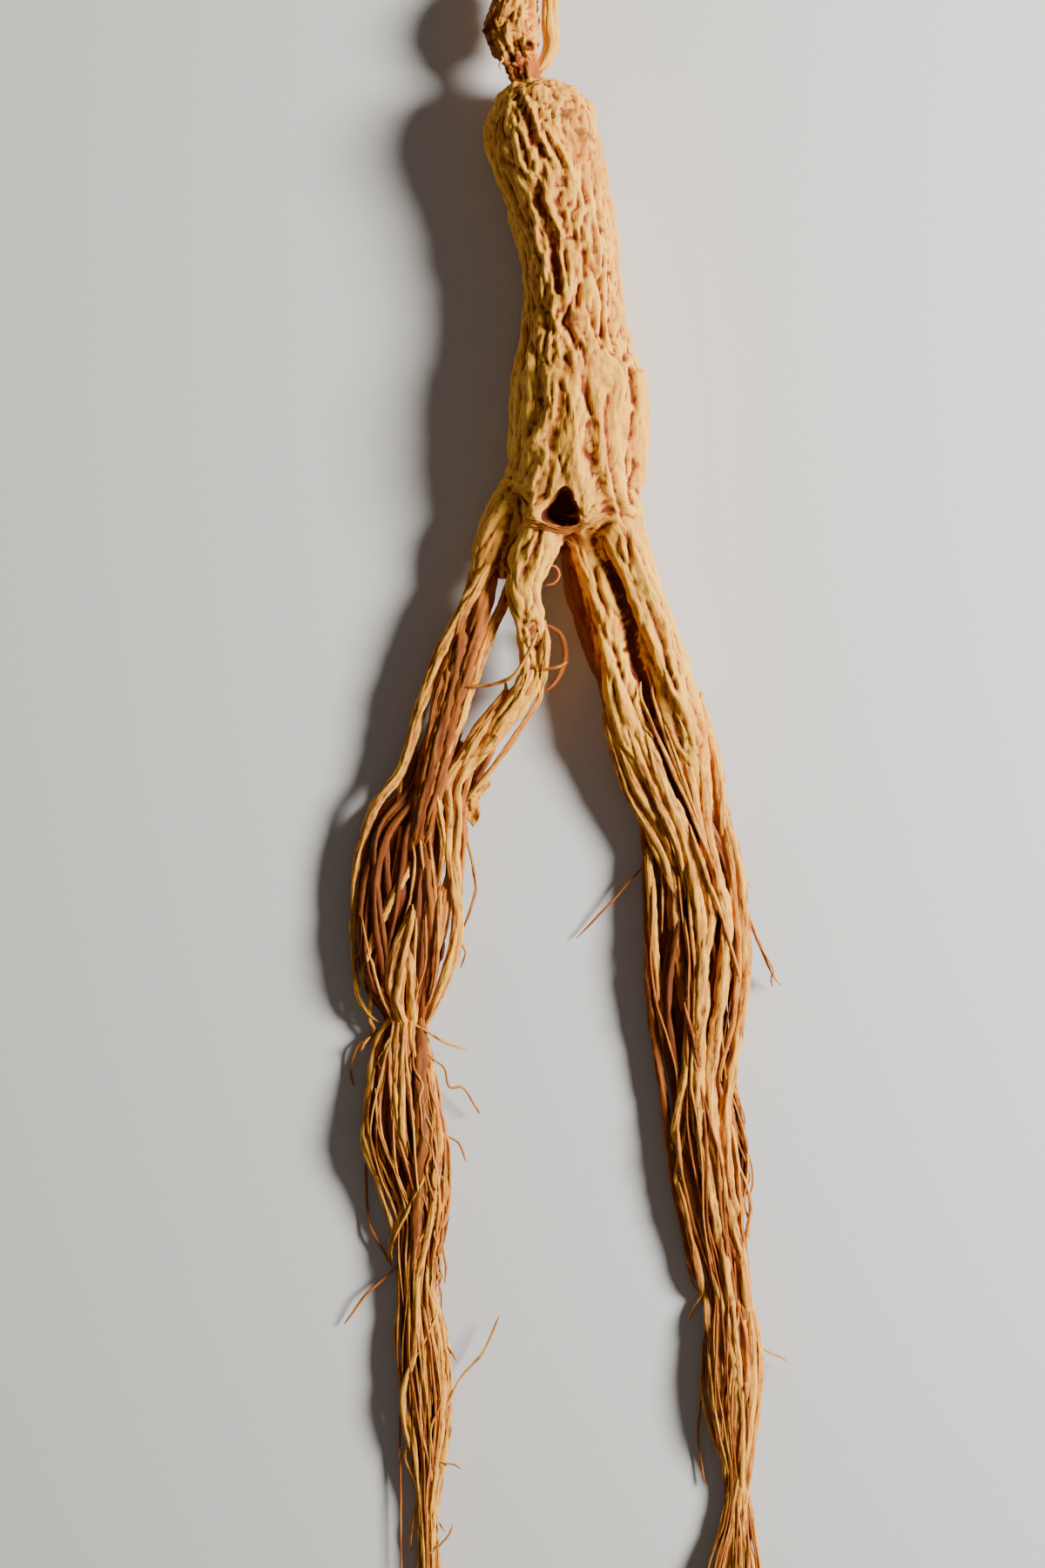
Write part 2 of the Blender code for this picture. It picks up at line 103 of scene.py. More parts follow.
# The five limbs of the fork: sideways, along, height, radius
LIMBS = {
    "inner_left": (
        (-2.9, -5.7, 8.5, 4.5), (-5.4, -14.3, 9.0, 4.6), (-7.1, -20.0, 8.8, 4.3),
        (-8.4, -24.3, 8.4, 3.7), (-7.9, -28.6, 8.0, 3.5), (-6.9, -33.6, 7.6, 3.0),
        (-6.6, -38.3, 7.2, 2.7), (-8.6, -43.1, 6.8, 2.8), (-11.9, -47.4, 6.5, 2.5),
        (-15.4, -51.7, 6.0, 2.0), (-18.6, -55.7, 5.0, 1.8), (-21.2, -61.4, 4.2, 1.5),
        (-25.6, -69.0, 3.6, 1.0),
    ),
    "outer_left": (
        (-5.0, -4.3, 6.5, 5.0), (-10.0, -11.4, 6.3, 4.2), (-13.6, -17.9, 6.0, 3.9),
        (-15.3, -23.6, 5.2, 3.0), (-16.8, -29.3, 4.6, 2.4), (-18.5, -37.1, 4.0, 1.9),
        (-20.6, -45.7, 3.8, 1.7), (-22.8, -54.3, 3.8, 1.5), (-24.8, -61.4, 3.8, 1.2),
        (-27.2, -69.0, 4.4, 1.1),
    ),
    "outer_right": (
        (4.3, -2.9, 7.6, 5.4), (6.6, -12.9, 7.8, 5.0), (8.9, -20.0, 7.8, 4.3),
        (11.5, -27.1, 7.6, 4.1), (14.0, -34.3, 7.2, 4.2), (16.2, -41.4, 6.8, 4.3),
        (18.4, -48.6, 6.5, 4.2), (20.0, -54.5, 5.2, 3.0), (21.6, -60.5, 4.4, 1.7),
        (22.0, -66.0, 3.8, 1.0), (21.0, -73.0, 3.4, 0.7),
    ),
    "inner_right": (
        (0.3, -8.6, 6.0, 4.2), (1.7, -17.1, 6.4, 3.2), (3.6, -23.6, 6.6, 2.9),
        (5.3, -29.3, 6.6, 3.1), (6.9, -36.4, 6.4, 3.4), (7.9, -42.9, 6.0, 3.7),
        (9.9, -50.0, 5.6, 3.7), (12.6, -56.0, 4.8, 2.8), (15.2, -62.0, 4.2, 1.7),
        (17.5, -67.5, 3.8, 1.1), (19.4, -74.0, 3.4, 0.8),
    ),
    "under_right": (
        (-0.7, -12.9, 4.5, 3.0), (0.3, -25.7, 3.6, 2.2), (2.9, -34.3, 3.0, 2.0),
        (5.7, -44.3, 2.6, 1.8), (8.9, -54.3, 2.6, 1.6), (12.9, -62.6, 3.0, 1.3),
        (18.2, -72.0, 3.6, 0.9),
    ),
}
LIMB_SIDES = 24

# Mesh of the first rough skins, in metres
ROUGH_ROOT_MESH = 0.0005
ROUGH_NECK_MESH = 0.0004

# Patterns of the main root's skin: how far apart their creases or lumps lie, in mm, across, up
# and along the root
FOLDS_APART = (4.2, 4.2, 24)
WRINKLES_APART = (2.0, 2.0, 8)
LINES_APART = (0.8, 0.8, 3.5)
CROSSWISE_APART = (3.2, 3.2, 1.7)
FINEST_APART = (1.1, 1.1, 3.4)
LUMPS_APART = (1.6, 1.6, 3.2)
# From where to where, in mm along the root, its skin changes to the upper root's, which is
# rougher, and, below the origin, to the limbs'
UPPER_SKIN = (8.0, 14.0)
LIMB_SKIN = (4.0, 22.0)
# Steps in mm along the shapes before they get their skins
SECTION_STEP = 1.2
LIMB_STEP = 1.0
NECK_STEP = 0.8
SCAR_STEP = 0.4

# Neck: sideways, along, height, radius
NECK = (
    (-6.6, 52.5, 8.2, 3.4), (-8.0, 57.6, 8.3, 2.7), (-8.7, 60.6, 8.2, 3.2),
    (-9.8, 64.0, 7.8, 4.5), (-10.3, 67.4, 7.5, 4.8), (-9.8, 70.6, 7.2, 4.2),
    (-8.8, 74.0, 6.8, 3.2), (-8.2, 77.5, 6.4, 3.0), (-8.5, 80.8, 6.1, 3.5),
    (-8.9, 83.6, 5.7, 2.8), (-8.4, 86.6, 5.4, 3.3), (-7.8, 89.6, 5.1, 2.6),
    (-7.4, 92.4, 4.9, 1.8),
)
NECK_BAND = (
    (-6.4, 58.6, 8.4, 1.0), (-4.7, 61.1, 8.8, 1.1), (-3.7, 63.7, 8.9, 1.1),
    (-4.0, 67.1, 8.7, 1.0), (-3.9, 71.4, 8.4, 0.9), (-3.6, 77.0, 7.6, 0.75),
    (-2.9, 82.9, 6.2, 0.6), (-3.7, 87.1, 5.0, 0.5),
)
# Fibres of the band: offset sideways and up in mm, share of its radius, brownness
NECK_FIBRES = ((0.55, -0.1, 0.6, 0.0), (-0.15, 0.25, 0.6, 0.0), (-0.75, 0.1, 0.45, 0.05),
               (0.15, -0.5, 0.7, 0.1), (-1.2, -0.3, 0.35, 0.0), (0.95, -0.4, 0.35, 0.0))
# Stem scars: place on the neck, and the way each one faces, as sideways, along, height
STEM_SCARS = (
    ((-7.5, 63.4, 11.2), (0.35, 0.1, 0.9)), ((-10.4, 60.8, 10.6), (-0.4, 0.1, 0.9)),
    ((-14.2, 66.8, 8.8), (-0.95, 0.1, 0.3)), ((-5.6, 78.6, 7.6), (0.9, 0.3, 0.5)),
    ((-10.8, 82.0, 7.8), (-0.6, 0.2, 0.8)), ((-5.9, 87.2, 6.6), (0.8, 0.2, 0.6)),
)
SCAR_RADIUS = 1.6
SCAR_HEIGHT = 0.9
# Old stains on the neck: pixel and radius
NECK_BLOTS = ((607, 54, 7), (590, 67, 9), (598, 77, 6), (580, 84, 7), (574, 90, 6), (601, 88, 5),
              (559, 34, 7), (564, 50, 5))

# Legs: along, sideways, half width
LEFT_LEG = (
    (-42.0, -17.0, 8.6), (-50.0, -19.6, 7.9), (-57.1, -22.1, 6.9), (-64.3, -26.1, 8.6),
    (-71.4, -27.4, 8.7), (-78.6, -27.7, 8.9), (-85.7, -27.9, 8.4), (-91.4, -28.3, 6.6),
    (-96.4, -28.1, 3.5), (-101.4, -28.3, 4.7), (-107.1, -28.3, 5.9), (-114.3, -27.7, 7.0),
    (-121.4, -26.4, 6.1), (-128.6, -25.0, 4.7), (-135.7, -25.6, 4.1), (-142.9, -25.7, 3.7),
    (-151.4, -25.3, 4.3), (-160.0, -24.7, 4.0), (-168.6, -24.4, 2.9), (-174.3, -24.6, 1.9),
    (-185.7, -24.1, 1.9), (-194.3, -24.0, 2.4), (-205.7, -23.7, 1.8), (-215.7, -23.3, 0.9),
)
RIGHT_LEG = (
    (-47.0, 12.6, 9.6), (-54.0, 15.0, 8.6), (-61.4, 17.1, 7.4), (-65.7, 18.6, 6.9),
    (-71.4, 19.6, 7.6), (-78.6, 20.1, 8.0), (-85.7, 20.0, 8.3), (-92.9, 19.9, 7.6),
    (-100.0, 20.4, 6.6), (-105.7, 20.9, 5.7), (-112.9, 21.9, 6.4), (-120.0, 23.0, 6.3),
    (-128.6, 23.7, 5.1), (-135.7, 24.7, 4.0), (-141.4, 25.4, 3.4), (-148.6, 25.9, 4.9),
    (-157.1, 25.9, 5.0), (-164.3, 26.1, 4.0), (-172.1, 26.6, 2.0), (-178.6, 26.6, 2.7),
    (-185.7, 26.0, 4.3), (-194.3, 25.4, 4.9), (-204.3, 24.9, 3.7), (-215.7, 24.6, 1.4),
)
# Outer left limb where it breaks into rootlets: sideways, along, height, radius, and then each
# rootlet's place across it, where it starts, its radius and its brownness, which is partly its
# own red-brown and partly painted shade, as this limb lies in shadow
SPLIT_LIMB = (
    (-14.4, -17.0, 5.8, 3.7), (-15.5, -23.6, 5.6, 3.5), (-17.0, -29.3, 5.2, 3.3),
    (-18.7, -37.1, 4.8, 3.1), (-20.8, -45.7, 4.6, 2.9), (-22.8, -54.3, 4.6, 2.7),
    (-24.4, -62.0, 4.4, 2.6), (-26.0, -70.0, 4.0, 2.8),
)
SPLIT_ROOTLETS = (
    (-0.8, -29.0, 0.8, 0.9), (-0.5, -23.0, 1.0, 0.8), (-0.2, -26.0, 1.3, 0.95),
    (0.15, -24.0, 0.8, 0.7), (0.45, -21.0, 1.3, 0.85), (0.8, -25.0, 0.9, 1.0), (0.95, -32.0, 0.7, 0.9),
)
LEG_FLATNESS = 0.4
LEG_LEAST_HALF_HEIGHT = 0.9

# Rootlets packed below those that show, and thin short ones among them: levels from a leg's
# middle, 0, to its top, 1, ranges of radius in mm and of brownness, steps to a face, sides, and
# whether they are short
# Painted shade: the hidden rootlets' brownness, 0.9 and more, darkens them as the shade among them
HIDDEN_KIND = ((-0.85, -0.2, 0.35, 0.5), (0.5, 0.95), (0.9, 1.15), 2.0, 8, False)
THIN_KIND = ((0.62, 0.76, 0.9), (0.2, 0.42), (0.0, 1.0), 1.2, 7, True)
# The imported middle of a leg: how far along it ends, its share of the leg's width, its sides
CORE_END = -205.0
CORE_SHARE = 0.76
CORE_SIDES = 64
# A drawn width counts only a rootlet's lit part: wider ones from this many pixels, and how much
# wider than drawn the wide and the narrow ones are
WIDE_PIXELS = 6
WIDE_MORE = 1.28
NARROW_MORE = 1.1
# Rootlets that end nearer the neck than this run on a little under the others
TIPS_FROM = -195.0
RUN_ON = 2.5
# Faces round a strong rootlet, a stray one and a fibre, before add() adds some for thick ones,
# and the length of a face of the last two, in mm
STRONG_SIDES = 14
STRAY_SIDES = 9
FIBRE_SIDES = 8
STRAY_STEP = 0.6
FIBRE_STEP = 0.4
# Where thin wiggly rootlets tangle along the left leg: from and to along it, the lanes across
# it, and how many
TANGLE = (-97.0, -142.0, (0.35, 1.0), 13)

# Big forms pressed into the main root before its skin: width in pixels, depth in mm (below
# nought stands out), and the pixels that each one runs through
BIG_FORMS = (
    (8, 0.7, ((592, 106), (603, 130), (614, 165), (628, 180))),
    (9, 0.8, ((614, 205), (616, 230), (635, 280), (638, 320), (643, 340))),
    (15, 0.9, ((678, 480), (676, 521), (690, 558), (703, 592))),
    (6, 0.5, ((641, 432), (643, 462), (633, 508), (636, 524))),
    (8, 0.5, ((621, 412), (621, 440), (620, 475), (606, 500))),
    (6, 0.45, ((602, 598), (600, 630), (600, 668))),
    (6, 0.4, ((618, 602), (615, 632), (604, 664))),
    (6, 0.8, ((612, 716), (617, 758), (606, 800))),
    (8, 0.9, ((737, 730), (741, 755), (757, 795), (765, 815), (781, 857))),
    (26, -0.7, ((648, 430), (654, 455), (663, 505), (660, 550))),
    (18, -0.6, ((689, 444), (689, 482), (690, 515), (696, 546), (703, 577), (711, 612))),
    (15, -0.6, ((628, 420), (631, 468), (612, 512))),
    (13, -0.6, ((632, 515), (613, 554), (613, 592))),
    (10, -0.5, ((735, 425), (738, 460), (740, 495), (738, 530), (736, 560), (735, 590))),
)

# Ridges and creases of the skin, in the same way
CREASES = (
    (3, 0.5, ((615, 125), (634, 165), (649, 195))),
    (3, 0.4, ((617, 120), (620, 130), (633, 146))),
    (3, 0.4, ((628, 112), (636, 133), (636, 143), (642, 150), (649, 168))),
    (3, 0.4, ((665, 220), (667, 240))),
    (4, 0.7, ((671, 205), (676, 237))),
    (3, 0.4, ((686, 215), (692, 250))),
    (3, 0.3, ((680, 190), (684, 210))),
    (3, 0.3, ((643, 230), (648, 250))),
    (3, 0.3, ((652, 228), (656, 250))),
    (8, 0.6, ((690, 240), (692, 260), (696, 270))),
    (3, 0.4, ((640, 278), (655, 272), (672, 277))),
    (3, 0.4, ((667, 258), (668, 270))),
    (5, 1.0, ((646, 285), (649, 312))),
    (4, 0.8, ((672, 283), (673, 322))),
    (3, 0.3, ((665, 289), (688, 290))),
    (4, 0.8, ((694, 288), (695, 300), (691, 325), (693, 340), (693, 390))),
    (5, 1.3, ((666, 325), (662, 352))),
    (4, 0.9, ((660, 335), (645, 372))),
    (6, 1.3, ((650, 372), (663, 398))),
    (4, 0.6, ((676, 350), (691, 398))),
    (4, 0.8, ((663, 388), (672, 405), (673, 420))),
    (3, 0.5, ((660, 395), (668, 420))),
    (6, 0.6, ((720, 415), (722, 406), (728, 401))),
    (5, 1.1, ((727, 418), (731, 466))),
    (5, 1.1, ((730, 470), (726, 508))),
    (4, 0.5, ((724, 512), (721, 528), (722, 545), (727, 555))),
    (5, 0.7, ((729, 524), (730, 538), (723, 565), (728, 580))),
    (5, 0.9, ((668, 425), (678, 480))),
    (5, 0.5, ((700, 450), (698, 495), (701, 522), (709, 570), (719, 604))),
    (3, 0.5, ((634, 425), (634, 462))),
    (3, 0.3, ((650, 445), (651, 490))),
    (3, 0.4, ((640, 213), (660, 214))),
    (4.8, 0.42, ((616, 683), (610, 706))),
    (4.8, 0.42, ((604, 690), (602, 702), (605, 712))),
    (6.4, 0.59, ((598, 712), (606, 720), (613, 714), (620, 718))),
    (3, 0.3, ((640, 520), (644, 540), (640, 556))),
    (4, 0.7, ((722, 608), (723, 655))),
    (4.8, 0.42, ((709, 634), (722, 654))),
    (6.4, 0.42, ((724, 664), (743, 716))),
    (6.4, 0.68, ((741, 688), (760, 738), (765, 766), (778, 794))),
    (4.8, 0.34, ((740, 660), (741, 684))),
    (4.8, 0.34, ((754, 704), (760, 726))),
    (6.4, 0.51, ((788, 772), (800, 806), (808, 838))),
    (6.4, 0.51, ((770, 800), (783, 830), (797, 870))),
    (8.0, 0.68, ((682, 648), (686, 680), (698, 706))),
    (6.4, 0.59, ((700, 735), (714, 776), (728, 803), (750, 850))),
    (6, 1.4, ((693, 645), (709, 680), (722, 715), (731, 757), (742, 794), (752, 826))),
    (4.8, 0.42, ((733, 808), (737, 818))),
    (5, -0.7, ((601, 107), (612, 128), (619, 152), (638, 190))),
    (6, -0.6, ((620, 135), (645, 172), (662, 205))),
    (5, -0.6, ((592, 102), (600, 99), (612, 101), (622, 98), (630, 101))),
    (4, -0.5, ((585, 118), (590, 117), (600, 138))),
    (4, -0.5, ((586, 128), (588, 138), (601, 155), (606, 175))),
    (5, -0.6, ((588, 150), (595, 188), (608, 202), (615, 196), (616, 187), (612, 182))),
    (4, -0.4, ((609, 166), (616, 174), (617, 183))),
    (4, -0.4, ((621, 178), (626, 186), (630, 205))),
    (4, -0.4, ((590, 200), (599, 218))),
    (5, -0.6, ((608, 232), (613, 245), (617, 280), (630, 305), (637, 340))),
    (4, -0.4, ((612, 290), (618, 313), (622, 350))),
    (6, -0.6, ((626, 212), (625, 225), (643, 270), (644, 300), (650, 345))),
    (5, -0.5, ((640, 335), (632, 362))),
    (5, -0.5, ((633, 362), (650, 392))),
    (4, -0.4, ((640, 395), (643, 410))),
    (4, -0.4, ((650, 400), (655, 415))),
    (4, -0.4, ((655, 398), (661, 415))),
    (5, -0.5, ((636, 425), (638, 462), (633, 490))),
    (6, -0.4, ((605, 400), (606, 455), (602, 480))),
    (10, -0.4, ((715, 440), (712, 470), (712, 500), (713, 530), (716, 560), (724, 590))),
)

# Scars, warts and small hollows: pixel, radius in pixels, how far each stands out in mm, stain
SPOTS = (
    (651, 130, 9, 0.1, 0.8), (670, 150, 6, -0.1, 0.6), (678, 156, 6, 0.1, 0.7),
    (680, 176, 3, 0.1, 0.8), (648, 206, 7, -0.3, 0.8), (683, 285, 7, -0.2, 0.5),
    (664, 276, 7, 0.0, 0.4), (658, 366, 11, 0.5, 0.8), (705, 313, 3, -0.2, 0.4),
    (722, 409, 6, -0.4, 0.6), (729, 424, 5, -0.2, 0.5), (777, 827, 5, 0.4, 0.7),
    (722, 745, 4, -0.4, 0.6), (710, 763, 4, -0.4, 0.6), (742, 428, 4, 0.7, 0.0),
    (743, 580, 3, 0.7, 0.1), (725, 625, 7, 0.1, 0.4), (608, 716, 9, 0.2, 0.3),
    (644, 222, 3, -0.4, 0.4), (733, 535, 5, -0.2, 0.6), (724, 528, 5, -0.1, 0.6),
    (668, 160, 5, 0.0, 0.4), (640, 345, 8, 0.2, 0.5), (648, 352, 6, 0.2, 0.6),
)

# The hollow above the fork, as the pixels of its rim, and its depth
PIT_RIM = ((648, 561), (639, 568), (631, 580), (623, 590), (625, 597), (640, 602), (655, 604),
           (667, 600), (662, 589), (659, 578), (655, 567))
PIT_DEPTH = 4.6
PIT_WALL = 5.0
PIT_CRUMBS = (655, 593)
PIT_CRUMBS_REACH = (9, 6)

# Rootlets that show, in the order that they lie: how high each end lies in its leg, width in
# pixels, how brown it is, and the pixels that it runs through. For rootlets that lie in shadow,
# their brownness is partly painted shade.
LEFT_ROOTLETS = (
    (0.55, 0.5, 15, 0.85, ((496, 850), (489, 868), (483, 940), (490, 990), (494, 1065), (493, 1112),
        (484, 1180))),
    (1.0, 1.0, 15, 0.92, ((484, 1165), (483, 1225), (484, 1300), (479, 1375), (478, 1452))),
    (0.7, 0.6, 5, 0.3, ((481, 905), (479, 930), (487, 1000))),
    (0.7, 0.5, 6, 0.3, ((493, 950), (499, 1020), (498, 1065))),
    (0.2, 0.0, 11, 0.6, ((447, 934), (434, 988), (424, 1038))),
    (0.3, 0.2, 6, 0.25, ((472, 855), (460, 900), (458, 972), (440, 1052))),
    (0.5, 0.4, 4, 0.2, ((474, 965), (476, 985), (473, 1025), (465, 1054))),
    (0.5, 0.3, 9, 0.05, ((468, 1000), (450, 1034), (426, 1086), (416, 1120))),
    (0.2, 0.1, 6, 0.35, ((440, 1060), (432, 1105), (424, 1165), (430, 1182))),
    (0.4, 0.5, 6, 0.2, ((452, 1055), (440, 1138), (443, 1153), (456, 1182))),
    (0.6, 0.8, 11, 0.03, ((477, 1042), (459, 1078), (450, 1118), (450, 1138), (466, 1186))),
    (0.8, 0.9, 8, 0.08, ((473, 1056), (457, 1135), (457, 1152), (467, 1182))),
    (0.4, 0.3, 9, 0.9, ((474, 1058), (472, 1100))),
    (0.7, 0.8, 13, 0.15, ((468, 1085), (473, 1125), (474, 1182))),
    (0.5, 0.4, 12, 0.5, ((513, 1012), (506, 1060), (496, 1104))),
    (0.7, 0.5, 7, 0.15, ((505, 1030), (504, 1058), (496, 1106))),
    (0.8, 0.9, 9, 0.08, ((532, 864), (515, 900), (517, 936), (514, 975), (523, 1035), (521, 1078),
        (510, 1120), (488, 1180))),
    (1.0, 0.8, 13, 0.25, ((541, 853), (520, 884), (514, 900), (518, 932))),
    (0.9, 0.9, 8, 0.5, ((537, 900), (533, 922), (533, 962), (527, 1022))),
    (1.0, 1.0, 9, 0.04, ((562, 846), (539, 873), (526, 905), (527, 945), (523, 985), (527, 1032),
        (526, 1082), (513, 1126), (486, 1184))),
    (0.4, 0.2, 4, 0.4, ((533, 940), (546, 1010), (545, 1028), (531, 1072), (531, 1085), (535, 1094))),
    (0.9, 0.9, 9, 0.35, ((578, 798), (546, 838), (533, 864))),
    (0.8, 0.9, 9, 0.3, ((592, 803), (538, 868))),
    (0.3, 0.3, 8, 0.1, ((448, 1168), (431, 1198), (423, 1256), (419, 1312), (434, 1356), (452, 1414))),
    (1.0, 0.8, 3, 0.3, ((449, 1190), (443, 1200), (440, 1224), (437, 1227), (434, 1221), (435, 1213),
        (441, 1207))),
    (0.3, 0.2, 7, 0.4, ((440, 1205), (437, 1260), (443, 1318))),
    (0.8, 0.7, 6, 0.1, ((453, 1170), (448, 1212), (451, 1283), (460, 1319), (475, 1346))),
    (0.8, 0.8, 9, 0.05, ((459, 1165), (455, 1215), (455, 1265), (459, 1308))),
    (0.9, 0.9, 9, 0.1, ((464, 1165), (463, 1215), (461, 1290), (465, 1312))),
    (0.8, 0.6, 5, 0.4, ((469, 1172), (470, 1220), (472, 1282))),
    (1.0, 0.9, 7, 0.1, ((474, 1168), (473, 1190), (479, 1222))),
    (0.9, 0.7, 7, 0.12, ((485, 1172), (494, 1210), (496, 1246), (505, 1302), (503, 1342), (497, 1402))),
    (0.8, 0.7, 4, 0.3, ((486, 1232), (498, 1270), (500, 1325), (504, 1342))),
    (0.7, 0.6, 4, 0.4, ((493, 1210), (504, 1250), (507, 1285), (516, 1320), (515, 1388), (507, 1416),
        (512, 1456))),
    (0.7, 0.7, 5, 0.3, ((511, 1296), (504, 1354))),
    (0.9, 0.6, 4, 0.12, ((487, 1350), (470, 1386), (450, 1430))),
    (0.5, 0.2, 8, 0.25, ((471, 1360), (448, 1432))),
    (0.4, 0.2, 9, 0.3, ((456, 1314), (453, 1374))),
    (0.7, 0.7, 5, 0.2, ((491, 1322), (489, 1368), (495, 1410))),
    (0.9, 0.7, 5, 0.2, ((514, 1368), (507, 1386), (490, 1410), (467, 1454))),
    (0.9, 0.9, 7, 0.08, ((500, 1330), (498, 1376), (491, 1416), (479, 1476), (477, 1548), (464, 1594),
        (464, 1630), (471, 1662))),
    (0.7, 0.7, 6, 0.25, ((509, 1380), (503, 1420), (490, 1478), (489, 1497))),
    (0.8, 0.5, 4, 0.3, ((499, 1436), (507, 1486))),
    (0.2, 0.3, 4, 0.25, ((465, 1446), (460, 1492), (453, 1538), (460, 1574), (467, 1590))),
    (0.5, 0.4, 8, 0.6, ((471, 1446), (468, 1470), (472, 1522), (474, 1575), (477, 1628), (477, 1672),
        (481, 1688), (496, 1716))),
    (0.8, 0.8, 5, 0.2, ((479, 1486), (484, 1535), (483, 1588), (484, 1638), (493, 1682), (499, 1722))),
    (1.1, 0.9, 4, 0.1, ((500, 1514), (466, 1580))),
    (0.8, 0.5, 3, 0.3, ((484, 1543), (495, 1596))),
    (0.8, 0.7, 5, 0.3, ((495, 1453), (490, 1470), (502, 1518))),
    (0.7, 0.8, 9, 0.1, ((493, 1474), (501, 1522), (507, 1575), (506, 1628), (501, 1680), (494, 1745))),
    (0.8, 0.8, 9, 0.05, ((496, 1480), (508, 1522), (515, 1575), (514, 1628), (507, 1680), (497, 1748),
        (496, 1770), (499, 1840))),
    (1.0, 0.9, 3, 0.3, ((506, 1612), (494, 1644), (500, 1697))),
    (0.6, 0.7, 4, 0.4, ((473, 1648), (466, 1666), (467, 1680), (478, 1704), (484, 1734))),
    (0.0, 0.0, 3, 0.7, ((460, 1600), (459, 1650), (460, 1700), (460, 1740), (461, 1812))),
    (0.8, 0.3, 6, 0.2, ((492, 1724), (487, 1772), (488, 1830), (489, 1910))),
    (0.9, 0.3, 6, 0.1, ((498, 1726), (498, 1780), (492, 1840), (492, 1900), (494, 1950))),
    (0.5, 0.3, 5, 0.3, ((486, 1726), (482, 1752), (481, 1806), (484, 1850), (488, 1920))),
    (0.6, 0.3, 4, 0.3, ((500, 1738), (504, 1795), (507, 1870), (503, 1930), (497, 2006))),
    (0.4, 0.2, 4, 0.5, ((478, 1728), (472, 1764))),
)
